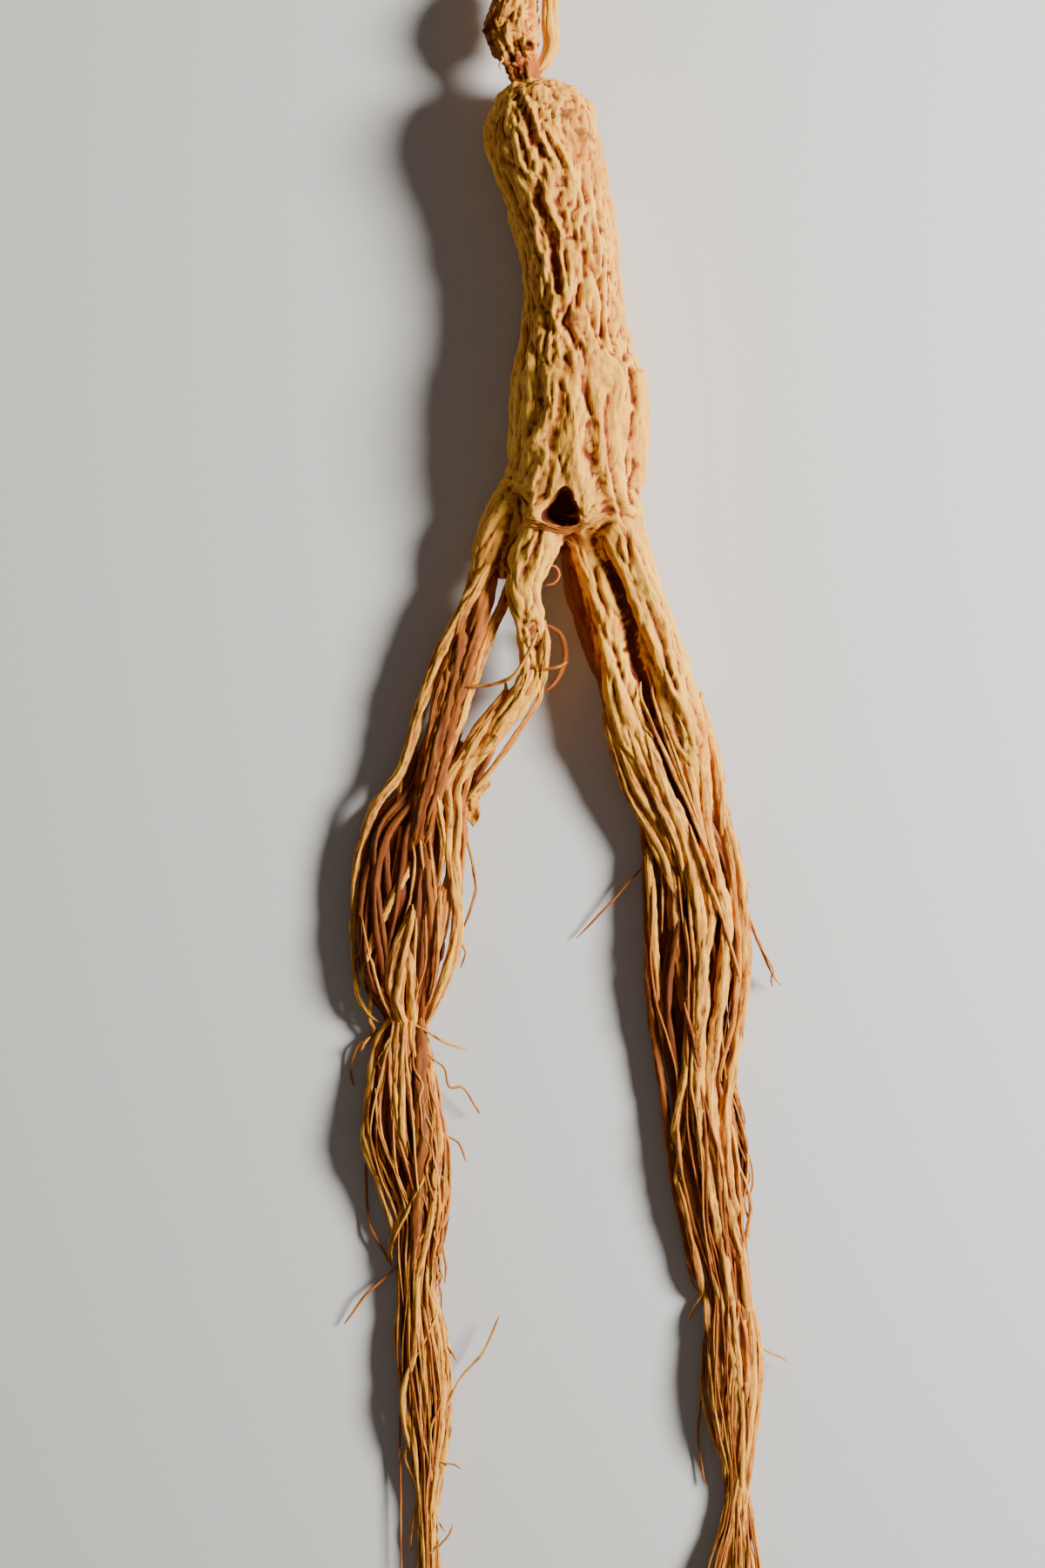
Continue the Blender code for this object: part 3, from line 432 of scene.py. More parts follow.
RIGHT_ROOTLETS = (
    (0.2, 0.3, 13, 0.7, ((810, 838), (818, 880), (824, 915), (829, 950), (833, 990))),
    (1.1, 1.1, 11, 0.95, ((853, 1500), (856, 1515))),
    (1.0, 1.0, 9, 1.0, ((834, 1540), (837, 1552))),
    (1.1, 1.1, 10, 0.7, ((856, 1585), (856, 1600))),
    (0.9, 0.7, 11, 0.12, ((834, 1500), (842, 1550), (848, 1610), (846, 1640), (838, 1700))),
    (0.8, 0.6, 10, 0.3, ((812, 1490), (814, 1520), (826, 1580), (830, 1640), (834, 1700))),
    (0.7, 0.7, 10, 0.45, ((778, 1352), (794, 1420), (806, 1480))),
    (-0.2, -0.3, 9, 0.8, ((738, 950), (742, 1030), (743, 1070), (746, 1150), (751, 1190), (762, 1258),
        (766, 1290), (774, 1355), (780, 1390), (793, 1452))),
    (0.4, 0.5, 17, 0.55, ((768, 985), (774, 1020), (780, 1090), (789, 1170))),
    (0.3, 0.1, 10, 0.2, ((744, 975), (749, 1040), (754, 1124), (763, 1204))),
    (0.4, 0.4, 3, 0.3, ((760, 1014), (761, 1054))),
    (1.0, 0.7, 12, 0.15, ((700, 815), (727, 893), (760, 955), (775, 994))),
    (0.9, 0.6, 10, 0.25, ((696, 830), (720, 906), (756, 970), (769, 1010))),
    (1.0, 0.9, 10, 0.1, ((768, 800), (781, 835), (794, 900), (801, 935), (812, 985))),
    (1.0, 0.9, 11, 0.08, ((712, 800), (735, 870), (750, 905), (776, 968), (784, 998))),
    (0.9, 0.8, 9, 0.15, ((812, 830), (826, 895), (831, 958))),
    (0.7, 0.5, 9, 0.3, ((746, 962), (773, 1018), (777, 1034))),
    (0.9, 0.6, 4, 0.15, ((769, 960), (786, 1017))),
    (0.6, 0.6, 7, 0.6, ((826, 922), (832, 955), (841, 1020), (842, 1052))),
    (1.0, 0.9, 13, 0.04, ((722, 808), (745, 868), (767, 910), (788, 949), (802, 985), (817, 1048),
        (812, 1094))),
    (1.0, 0.9, 14, 0.02, ((742, 842), (768, 917), (789, 972), (798, 1020), (806, 1070), (807, 1122),
        (805, 1178), (802, 1232), (805, 1290), (816, 1370), (831, 1440), (842, 1510))),
    (0.8, 0.8, 5, 0.1, ((791, 1024), (793, 1058), (798, 1112), (797, 1170), (794, 1250), (797, 1292))),
    (0.9, 0.9, 13, 0.03, ((784, 790), (795, 835), (809, 900), (813, 952), (822, 998), (832, 1044),
        (834, 1068), (828, 1140), (821, 1188), (816, 1238), (818, 1290), (827, 1345), (839, 1392),
        (850, 1436), (860, 1510))),
    (0.7, 0.8, 7, 0.4, ((832, 950), (841, 1005), (848, 1088), (842, 1168), (828, 1224))),
    (0.7, 0.8, 13, 0.15, ((806, 812), (822, 872), (831, 930), (848, 996), (855, 1072), (855, 1124),
        (845, 1197), (838, 1242), (833, 1285), (838, 1356), (848, 1398))),
    (1.0, 0.9, 6, 0.3, ((750, 800), (771, 864), (784, 900), (803, 954))),
    (0.8, 0.8, 7, 0.5, ((744, 765), (752, 795), (770, 850), (780, 878), (799, 940))),
    (0.8, 0.8, 6, 0.4, ((748, 742), (756, 770), (774, 828), (784, 856), (803, 915))),
    (1.0, 0.9, 5, 0.12, ((764, 832), (780, 880), (807, 960))),
    (1.0, 0.9, 5, 0.2, ((736, 800), (746, 825), (774, 888), (798, 942), (819, 996))),
    (1.1, 1.0, 5, 0.25, ((797, 964), (815, 1014), (832, 1062), (849, 1122))),
    (0.6, 0.6, 9, 0.1, ((791, 1140), (788, 1218), (774, 1300))),
    (0.7, 0.6, 7, 0.2, ((790, 1215), (782, 1264), (776, 1304))),
    (0.6, 0.4, 5, 0.1, ((790, 1280), (777, 1346), (779, 1365), (793, 1414))),
    (0.2, 0.3, 7, 0.3, ((782, 1320), (793, 1368), (806, 1412), (825, 1492), (830, 1538))),
    (0.6, 0.6, 8, 0.08, ((805, 1402), (817, 1450), (833, 1517))),
    (0.4, 0.3, 6, 0.75, ((784, 1300), (799, 1346), (816, 1417))),
    (0.8, 0.7, 7, 0.08, ((805, 1338), (822, 1406))),
    (0.5, 0.6, 6, 0.5, ((821, 1232), (828, 1252), (829, 1268), (823, 1298))),
    (0.7, 0.6, 6, 0.3, ((835, 1258), (829, 1282), (832, 1328), (837, 1372))),
    (0.6, 0.6, 7, 0.6, ((838, 1252), (842, 1300), (845, 1345), (852, 1392))),
    (0.5, 0.2, 3, 0.2, ((845, 1246), (856, 1286), (854, 1293), (850, 1294), (845, 1288))),
    (0.4, 0.3, 3, 0.3, ((846, 1293), (862, 1334), (864, 1360), (861, 1371))),
    (0.5, 0.3, 3, 0.3, ((848, 1312), (861, 1348), (855, 1378), (860, 1404))),
    (0.6, 0.6, 5, 0.3, ((844, 1328), (862, 1380), (856, 1424), (861, 1480), (857, 1496))),
    (0.5, 0.5, 8, 0.6, ((832, 1392), (850, 1464))),
    (0.9, 0.9, 7, 0.06, ((841, 1486), (845, 1535), (852, 1615), (853, 1668), (851, 1717))),
    (0.8, 0.8, 8, 0.1, ((851, 1496), (856, 1550), (860, 1598))),
    (0.8, 0.9, 9, 0.08, ((857, 1490), (862, 1520), (865, 1575), (861, 1628), (855, 1702))),
    (0.5, 0.8, 7, 0.2, ((859, 1484), (870, 1536), (873, 1585), (865, 1655), (857, 1718))),
    (0.5, 0.5, 8, 0.35, ((833, 1496), (837, 1550), (838, 1594))),
    (0.9, 0.6, 4, 0.2, ((848, 1508), (839, 1588), (834, 1602), (836, 1642), (831, 1680))),
    (0.2, 0.5, 4, 0.2, ((816, 1560), (815, 1588), (825, 1630), (838, 1666), (841, 1688))),
    (0.0, 0.6, 6, 0.2, ((806, 1594), (819, 1650), (849, 1714))),
    (0.2, 0.4, 9, 0.45, ((824, 1490), (826, 1525), (833, 1577))),
    (0.8, 0.3, 6, 0.2, ((849, 1690), (839, 1745), (837, 1772), (833, 1830), (834, 1868))),
    (0.9, 0.4, 10, 0.08, ((852, 1690), (846, 1755), (848, 1815), (846, 1860), (842, 1905))),
    (0.8, 0.3, 8, 0.1, ((856, 1695), (855, 1755), (864, 1805), (864, 1850), (858, 1905))),
    (0.6, 0.3, 6, 0.25, ((857, 1702), (862, 1735), (871, 1790), (873, 1820), (870, 1862))),
    (0.6, 0.3, 5, 0.3, ((838, 1700), (827, 1755), (825, 1785), (828, 1852))),
    (0.9, 0.4, 5, 0.15, ((842, 1748), (832, 1832))),
    (0.8, 0.1, 6, 0.15, ((850, 1742), (860, 1800), (861, 1840), (853, 1900), (846, 1960), (836, 2004))),
)

# Single strong rootlets on the left: radii from end to end, brownness, then rows of pixel and
# height
SINGLE_ROOTLETS = (
    ((0.9, 1.2, 1.2, 1.15, 1.1, 0.9, 0.85, 0.8, 0.6, 0.5, 0.45), 0.08, ((572, 630, 8.2), (538, 690, 7.6),
        (506, 750, 6.7), (497, 772, 6.4), (481, 822, 5.8), (460, 885, 5.2), (432, 924, 4.8),
        (416, 968, 4.4), (410, 992, 4.2), (406, 1040, 3.9), (406, 1090, 3.6), (409, 1132, 3.4),
        (414, 1150, 3.2), (425, 1166, 3.0), (440, 1176, 2.8))),
    ((0.8, 1.0, 1.05, 1.1, 1.0, 0.8, 0.6, 0.45), 0.08, ((590, 640, 5.6), (587, 665, 6.0),
        (578, 692, 6.3), (568, 716, 6.4), (550, 760, 6.4), (533, 810, 6.5), (525, 833, 6.5),
        (508, 876, 6.5), (503, 900, 6.5), (503, 918, 6.5), (509, 972, 6.7), (502, 1024, 6.0))),
    ((0.9, 1.3, 1.4, 1.2, 0.9, 0.7), 0.62, ((572, 655, 6.4), (555, 706, 6.6), (548, 733, 6.4),
        (537, 785, 5.6), (520, 845, 4.8))),
    ((0.8, 1.1, 1.35, 1.3, 1.1, 1.0), 0.68, ((548, 680, 6.4), (526, 738, 6.9), (519, 765, 6.8),
        (506, 818, 6.4), (500, 845, 6.2), (489, 902, 5.6))),
    ((0.6, 0.8, 0.8, 0.7), 0.75, ((538, 700, 7.0), (522, 740, 7.2), (502, 800, 6.8), (496, 828, 6.6),
        (485, 886, 6.0))),
    ((0.5, 0.6, 0.5, 0.4), 0.3, ((624, 784, 7.0), (619, 802, 6.8), (611, 816, 6.7), (573, 872, 6.5),
        (541, 912, 6.4), (535, 926, 6.3), (533, 944, 6.2))),
    ((0.6, 0.95, 0.95, 0.7), 0.05, ((626, 712, 9.4), (626, 748, 9.2), (619, 802, 7.4))),
    ((0.5, 1.3, 1.75, 1.5, 0.9, 0.5), 0.04, ((620, 740, 7.0), (612, 766, 7.6), (602, 788, 7.7),
        (575, 836, 7.4), (545, 878, 6.2))),
    ((0.5, 0.8, 0.8, 0.6), 0.3, ((592, 785, 6.2), (553, 838, 7.3), (534, 872, 7.0), (527, 892, 6.4))),
)

# Rootlets that stray from the bundles: brownness, then rows of sideways, along, height, radius
STRAYS = (
    (0.1, ((-28.0, -95.6, 3.6, 0.3), (-24.0, -98.0, 4.6, 0.25), (-21.4, -99.6, 4.3, 0.32),
        (-17.6, -100.8, 3.6, 0.25))),
    (0.5, ((-26.6, -98.4, 3.4, 0.25), (-23.3, -102.3, 4.0, 0.22), (-21.4, -103.9, 4.1, 0.22),
        (-20.6, -107.0, 3.6, 0.22), (-18.3, -107.2, 3.0, 0.22), (-15.6, -111.6, 1.8, 0.2))),
    (0.4, ((-24.0, -109.0, 3.8, 0.25), (-21.4, -114.4, 3.4, 0.24), (-19.0, -116.3, 3.0, 0.24),
        (-17.9, -119.3, 2.4, 0.2))),
    (0.6, ((-25.6, -132.6, 2.6, 0.25), (-31.4, -138.6, 2.0, 0.25), (-35.0, -142.2, 1.6, 0.25),
        (-38.0, -146.2, 1.0, 0.2))),
    (0.15, ((-22.4, -162.4, 3.6, 0.25), (-20.4, -158.0, 3.4, 0.25), (-18.3, -154.3, 3.2, 0.25),
        (-15.0, -150.6, 3.2, 0.25), (-12.4, -144.7, 3.0, 0.2))),
    (0.7, ((-31.4, -97.0, 2.4, 0.2), (-35.6, -100.2, 1.6, 0.2), (-36.9, -104.4, 1.2, 0.2),
        (-36.4, -107.0, 1.2, 0.2))),
    (0.75, ((-34.4, -119.6, 2.0, 0.25), (-34.1, -128.0, 1.4, 0.25), (-33.0, -131.6, 1.6, 0.25),
        (-30.0, -136.6, 1.8, 0.22))),
    (0.7, ((18.6, -64.6, 4.4, 0.3), (10.7, -71.4, 3.0, 0.25), (4.3, -78.6, 1.4, 0.22),
        (0.3, -82.6, 0.9, 0.2))),
    (0.05, ((26.9, -71.8, 4.6, 0.25), (29.0, -74.0, 4.5, 0.2))),
    (0.25, ((27.8, -77.4, 4.2, 0.4), (29.3, -80.7, 4.0, 0.35), (31.9, -87.0, 3.0, 0.28),
        (33.2, -89.4, 2.4, 0.28), (34.2, -90.4, 2.0, 0.28))),
    (0.3, ((30.6, -83.8, 3.6, 0.2), (32.7, -87.9, 3.4, 0.2), (32.3, -89.0, 3.0, 0.2))),
    (0.4, ((32.4, -88.4, 2.8, 0.2), (32.6, -90.6, 2.4, 0.3))),
    (0.3, ((29.4, -149.4, 3.4, 0.28), (34.0, -151.6, 2.8, 0.22), (35.2, -152.6, 2.3, 0.25))),
    (0.3, ((22.6, -138.6, 2.4, 0.2), (19.8, -143.4, 1.6, 0.22), (18.7, -145.7, 1.2, 0.28))),
    (0.6, ((18.4, -136.4, 1.6, 0.18), (19.8, -140.0, 1.6, 0.18), (21.2, -141.2, 2.0, 0.18))),
    (0.6, ((21.2, -148.6, 2.4, 0.2), (20.9, -157.9, 1.8, 0.22), (20.4, -164.3, 1.4, 0.22),
        (20.6, -167.6, 1.2, 0.22), (21.6, -172.6, 1.0, 0.22))),
    (0.2, ((-21.4, -148.6, 3.6, 0.2), (-19.3, -152.3, 3.2, 0.28))),
    (0.35, ((-23.6, -166.0, 3.4, 0.2), (-22.1, -168.6, 3.2, 0.2), (-20.0, -169.1, 3.0, 0.2),
        (-18.7, -169.9, 2.8, 0.2))),
    (0.2, ((-24.6, -184.4, 2.6, 0.25), (-22.4, -182.6, 3.0, 0.22), (-20.6, -180.6, 3.0, 0.22),
        (-20.0, -178.9, 2.8, 0.3))),
    (0.3, ((-22.4, -178.6, 2.6, 0.2), (-21.3, -180.4, 2.8, 0.2))),
    (0.25, ((-6.2, -32.4, 10.8, 0.4), (-7.2, -35.0, 10.9, 0.4), (-8.6, -37.6, 10.6, 0.4),
        (-10.6, -39.9, 9.8, 0.38), (-13.4, -40.9, 8.8, 0.36), (-18.0, -41.3, 7.6, 0.25))),
    (0.0, ((-6.0, -38.6, 9.0, 0.22), (-3.1, -38.2, 9.4, 0.42), (-1.3, -37.3, 9.4, 0.2))),
    (0.6, ((-4.6, -21.4, 7.4, 0.3), (-3.2, -21.6, 7.0, 0.32), (-2.6, -22.9, 6.8, 0.32),
        (-3.4, -24.2, 6.8, 0.32), (-5.0, -24.6, 7.0, 0.3))),
    (0.85, ((-5.0, -30.8, 5.6, 0.5), (-2.4, -32.4, 5.2, 0.5), (-1.6, -35.0, 4.8, 0.5),
        (-2.0, -38.0, 4.8, 0.5), (-3.4, -40.6, 5.0, 0.5), (-5.6, -42.4, 5.4, 0.4))),
    (0.0, ((-35.2, -84.6, 4.2, 0.2), (-37.0, -86.6, 3.6, 0.2))),
    (0.0, ((-33.6, -98.8, 3.4, 0.2), (-34.6, -99.8, 3.2, 0.24), (-35.2, -101.2, 2.8, 0.2))),
    (0.15, ((-15.9, -52.6, 8.0, 0.18), (-14.4, -52.2, 8.2, 0.18), (-13.4, -51.4, 8.2, 0.18))),
    (0.1, ((-13.4, -48.6, 8.2, 0.22), (-12.6, -49.4, 8.4, 0.24), (-13.3, -50.6, 8.4, 0.2),
        (-12.9, -51.2, 8.3, 0.18))),
    (0.1, ((-12.0, 58.9, 11.6, 0.2), (-12.3, 59.9, 11.6, 0.22), (-11.7, 60.6, 11.6, 0.22),
        (-11.9, 61.3, 11.6, 0.18))),
)

# Skin left across the lower edge of the hollow: the pixels of its strips, the height that they
# are seen at, its height over the hollow and its least height, its rise above the skin beside
# it, and its fibres, as shift and radius in mm
SKIN_STRIP = (
    ((600, 598), (612, 600), (624, 602), (636, 605), (650, 606), (664, 604), (676, 600)),
    ((598, 601), (612, 604), (626, 607), (640, 610), (654, 610), (667, 607), (674, 604)),
    ((604, 597), (616, 599), (630, 604), (645, 608), (658, 606), (668, 601), (679, 602)),
)
STRIP_SEEN_AT = 13.5
STRIP_HEIGHT = 13.4
STRIP_LEAST_HEIGHT = 12.6
STRIP_RISE = 0.25
STRIP_FIBRES = ((-0.1, 0.14), (0.12, 0.14))
# Papery flap of dried rind at the top of the left leg: pixels of its edge
FLAP_EDGE = ((545, 904), (552, 897), (560, 893), (565, 899), (559, 905), (553, 908), (556, 912),
             (551, 917), (552, 927), (550, 939), (546, 946), (540, 944), (537, 932), (536, 918),
             (540, 910))
FLAP_HEIGHT = 6.0
FLAP_RINGS = 9
FLAP_HALF_THICKNESS = 0.16


def linear(hex_colour):
    """Linear red, green, blue and alpha of an sRGB hex colour."""
    parts = [int(hex_colour[i:i + 2], 16) / 255 for i in (1, 3, 5)]
    return tuple(p / 12.92 if p <= 0.04045 else ((p + 0.055) / 1.055) ** 2.4 for p in parts) + (1.0,)


def colour(name, text, hex_colour):
    return FloatVectorProperty(name=name, description=text, subtype="COLOR", size=4,
                               min=0.0, max=1.0, default=linear(hex_colour))


def length(name, text, metres):
    return FloatProperty(name=name, description=text, subtype="DISTANCE", unit="LENGTH",
                         min=0.0, precision=5, default=metres)


class RootSizes(bpy.types.PropertyGroup):
    """Meshes, depths and numbers of the root's parts"""

    skin_mesh: length("Skin mesh", "Size of the faces of the main root's skin", 0.000355)
    neck_mesh: length("Neck mesh", "Size of the faces of the neck's skin", 0.00026)
    fold_depth: length("Fold depth", "Depth of the long folds of the main root", 0.0009)
    wrinkle_depth: length("Wrinkle depth", "Depth of the wrinkles between the folds", 0.0006)
    line_depth: length("Line depth", "Depth of the fine lines along the skin", 0.0003)
    rootlet_step: length("Rootlet step", "Length of a rootlet's faces", 0.0009)
    rootlet_sides: IntProperty(name="Rootlet sides", description="Faces round a thin rootlet",
                               min=6, max=32, default=10)
    hidden_rootlets: IntProperty(name="Hidden rootlets", min=0, max=60, default=26,
                                 description="Rootlets in each leg below those that show")
    thin_rootlets: IntProperty(name="Thin rootlets", min=0, max=60, default=30,
                               description="Thin short rootlets among those that show")
    seed: IntProperty(name="Seed", description="Changes the chance details", min=0, default=7)


class RootColours(bpy.types.PropertyGroup):
    """Colours of the dried skin; crease, tan and rind also paint shade in creases and shaded parts"""

    ridge: colour("Ridge", "Rubbed tops of the ridges", "#FFBC42")
    skin: colour("Skin", "Straw-coloured skin between ridge and crease", "#E0983A")
    tan: colour("Tan", "Browner rootlets and patches", "#B0521A")
    # Crease: partly the skin's own red-brown, partly painted shade in its creases
    crease: colour("Crease", "Red-brown skin in the creases", "#80380F")
    # Rind: the darkest rootlets' own colour, and painted shade in deep hollows, hidden rootlets and
    # cores
    rind_and_shade: colour("Rind", "Old dark rind in hollows and on the brownest rootlets", "#441305")
    scar: colour("Scar", "Scars where a rootlet or stem came off", "#6A2A08")


class StageSettings(bpy.types.PropertyGroup):
    """Floor and lights"""

    floor_size: length("Floor size", "Side of the floor", 2.4)
    floor_colour: colour("Floor", "Plain pale floor", "#D9D6D0")
    key_power: FloatProperty(name="Key light", description="Power of the key light", subtype="POWER",
                             unit="POWER", min=0.0, default=11.5)
    fill_power: FloatProperty(name="Fill light", description="Power of the fill light",
                              subtype="POWER", unit="POWER", min=0.0, default=0.38)
    key_colour: colour("Key colour", "Colour of the key light", "#FFFFFF")
    fill_colour: colour("Fill colour", "Colour of the warm fill light", "#FFD6BA")
    room_colour: colour("Room colour", "Colour of the light from all round", "#FFFFFF")
    room_strength: FloatProperty(name="Room light", description="Strength of the light all round",
                                 min=0.0, default=0.08)


# Shapes in numbers


def noise(points, seed=0):
    """Smooth noise, about -1 to 1 with mean 0, at rows of three numbers."""
    lattice = np.random.default_rng(9)
    slopes = lattice.normal(size=(256, 3))
    slopes /= np.linalg.norm(slopes, axis=1)[:, None]
    order = lattice.permutation(256)
    cell = np.floor(points).astype(np.int64)
    part = points - cell
    fade = part ** 3 * (part * (part * 6 - 15) + 10)
    total = np.zeros(len(points))
    for corner in itertools.product((0, 1), repeat=3):
        at = cell + corner
        pick = order[(at[:, 0] + 37 * seed) & 255]
        pick = order[(pick + at[:, 1]) & 255]
        pick = order[(pick + at[:, 2]) & 255]
        weight = np.prod(np.where(np.array(corner) == 1, fade, 1 - fade), axis=1)
        total += weight * np.sum(slopes[pick] * (part - corner), axis=1)
    return 1.5 * total


def crease(points, seed=0):
    """Ridged noise: 0 on a ridge, 1 in the crease between two."""
    return 1.0 - np.minimum(1.0, 2.4 * np.abs(noise(points, seed)))


def smoothstep(value, low, high):
    share = np.clip((value - low) / (high - low), 0.0, 1.0)
    return share * share * (3 - 2 * share)


def flat_noise(places, size, layer, seed):
    """Noise over flat places, in patches of that size. Each layer has other patches."""
    return noise(np.column_stack([places / size, np.full(len(places), layer)]), seed)


def bending(grain, patch, shifts):
    """Smooth shifts across, up and along, so that a pattern drawn in the grain bends."""
    return np.column_stack([shift * noise(grain / patch, k) for k, shift in enumerate(shifts, 1)])


def smooth_route(points, step):
    """Rows along a Catmull-Rom curve through the points, about that many millimetres apart."""
    points = np.array(points, dtype=float)
    padded = np.vstack([2 * points[0] - points[1], points, 2 * points[-1] - points[-2]])
    route = []
    for i in range(1, len(padded) - 2):
        a, b, c, d = padded[i - 1:i + 3]
        pieces = max(1, round(np.linalg.norm((c - b)[:3]) / step))
        t = (np.arange(pieces) / pieces)[:, None]
        route.append(0.5 * (2 * b + (c - a) * t + (2 * a - 5 * b + 4 * c - d) * t ** 2
                            + (3 * b - a - 3 * c + d) * t ** 3))
    route.append(points[-1:])
    return np.vstack(route)


def to_photo(places):
    """Pixels at which places in mm show in the photograph."""
    nearer = 1 - (places[:, 2] - PHOTO_LEVEL) / CAMERA_RISE
    across = PHOTO_ORIGIN[0] - PHOTO_MIDDLE[0] + PHOTO_SCALE * places[:, 0]
    down = PHOTO_ORIGIN[1] - PHOTO_MIDDLE[1] - PHOTO_SCALE * places[:, 1]
    return np.stack([PHOTO_MIDDLE[0] + across / nearer, PHOTO_MIDDLE[1] + down / nearer], axis=1)


def from_photo(pixel, height):
    """Sideways and along, in mm, of what shows at a pixel and lies at that height."""
    nearer = 1 - (height - PHOTO_LEVEL) / CAMERA_RISE
    x = PHOTO_MIDDLE[0] - PHOTO_ORIGIN[0] + (pixel[0] - PHOTO_MIDDLE[0]) * nearer
    y = PHOTO_ORIGIN[1] - PHOTO_MIDDLE[1] - (pixel[1] - PHOTO_MIDDLE[1]) * nearer
    return x / PHOTO_SCALE, y / PHOTO_SCALE


def off_line(places, line):
    """Distance of each flat place from a line of points, and how far along the line it is nearest."""
    line = np.array(line, dtype=float)
    best = np.full(len(places), np.inf)
    along = np.zeros(len(places))
    passed = 0.0
    for start, end in zip(line, line[1:]):
        run = end - start
        size = np.linalg.norm(run)
        share = np.clip((places - start) @ run / size ** 2, 0.0, 1.0)
        away = np.linalg.norm(places - start - share[:, None] * run, axis=1)
        nearer = away < best
        best[nearer] = away[nearer]
        along[nearer] = (passed + share * size)[nearer]
        passed += size
    return best, along, passed


def carve(pixels, upward, forms, seed):
    """How far, in mm, drawn ridges and creases move each point of a skin along its normal.

    They waver a little, and fade out where the skin turns away from the camera."""
    wandering = pixels + 1.3 * np.stack([flat_noise(pixels, 9, layer, seed)
                                         for layer in (0.5, 7.5)], axis=1)
    facing = smoothstep(upward, 0.05, 0.5)
    push = np.zeros(len(pixels))
    for width, depth, line in forms:
        corners = np.array(line)
        reach = 2.2 * width
        near = np.all((wandering > corners.min(axis=0) - reach)
                      & (wandering < corners.max(axis=0) + reach), axis=1)
        if not near.any():
            continue
        away, along, total = off_line(wandering[near], line)
        ends = smoothstep(np.minimum(along, total - along), -4.0, 7.0)
        profile = np.exp(-np.abs(away / (0.55 * width)) ** 1.8)
        push[near] -= depth * profile * ends * facing[near]
    return push


def rim_distance(pixels, rim):
    """Distance in pixels to a closed rim, positive inside it."""
    loop = np.array(rim + rim[:1], dtype=float)
    away, _, _ = off_line(pixels, loop)
    inside = np.zeros(len(pixels), dtype=bool)
    for (x0, y0), (x1, y1) in zip(loop, loop[1:]):
        if y0 == y1:
            continue
        crosses = (pixels[:, 1] > y0) != (pixels[:, 1] > y1)
        at = x0 + (pixels[:, 1] - y0) * (x1 - x0) / (y1 - y0)
        inside ^= crosses & (pixels[:, 0] < at)
    return np.where(inside, away, -away)


def straightened(places, guides):
    """Places with their limb's own curve taken out, as across, up and along, so that wrinkles
    drawn in them follow each limb."""
    along = places[:, 1]
    weights = []
    offsets = []
    for guide in guides:
        order = np.argsort(guide[:, 1])
        x = np.interp(along, guide[order, 1], guide[order, 0])
        z = np.interp(along, guide[order, 1], guide[order, 2])
        r = np.interp(along, guide[order, 1], guide[order, 3])
        away = np.hypot(places[:, 0] - x, places[:, 2] - z) / r
        outside = np.maximum(guide[order[0], 1] - along, 0.0)
        outside += np.maximum(along - guide[order[-1], 1], 0.0)
        weights.append(np.exp(-2.5 * away ** 2 - outside) + 1e-9)
        offsets.append(np.stack([x, z], axis=1))
    weights = np.array(weights)
    weights /= weights.sum(axis=0)
    middle = sum(w[:, None] * offset for w, offset in zip(weights, offsets))
    return np.stack([places[:, 0] - middle[:, 0], places[:, 2] - middle[:, 1], along], axis=1)


def ring_shell(middles, widths, heights, sides):
    """Points and faces of a closed shell of level-standing rings across the along direction."""
    angles = math.tau * np.arange(sides) / sides
    points = []
    for (x, y, z), w, h in zip(middles, widths, heights):
        points.append(np.stack([x + w * np.cos(angles), np.full(sides, y),
                                z + h * np.sin(angles)], axis=1))
    return np.vstack(points), ring_faces(len(middles), sides)


def ring_faces(rings, sides):
    """Faces between rings of points, with both ends closed."""
    faces = []
    for i in range(rings - 1):
        for j in range(sides):
            k = (j + 1) % sides
            faces.append((i * sides + j, i * sides + k, (i + 1) * sides + k, (i + 1) * sides + j))
    faces.append(tuple(reversed(range(sides))))
    faces.append(tuple(range((rings - 1) * sides, rings * sides)))
    return faces


def tube_rings(route, sides, flat=1.0):
    """Centre, side and up directions of rings along rows of sideways, along, height, radius."""
    middle = route[:, :3]
    ahead = np.gradient(middle, axis=0)
    ahead /= np.linalg.norm(ahead, axis=1)[:, None] + 1e-12
    side = np.cross(ahead, (0.0, 0.0, 1.0))
    side /= np.linalg.norm(side, axis=1)[:, None] + 1e-12
    up = np.cross(side, ahead)
    angles = math.tau * np.arange(sides) / sides
    around = (np.cos(angles)[None, :, None] * side[:, None, :]
              + flat * np.sin(angles)[None, :, None] * up[:, None, :])
    return middle, around, angles


def tube_shell(route, sides):
    """Points and faces of a closed round shell along rows of sideways, along, height, radius."""
    middle, around, _ = tube_rings(route, sides)
    points = middle[:, None, :] + around * route[:, 3][:, None, None]
    return points.reshape(-1, 3), ring_faces(len(route), sides)


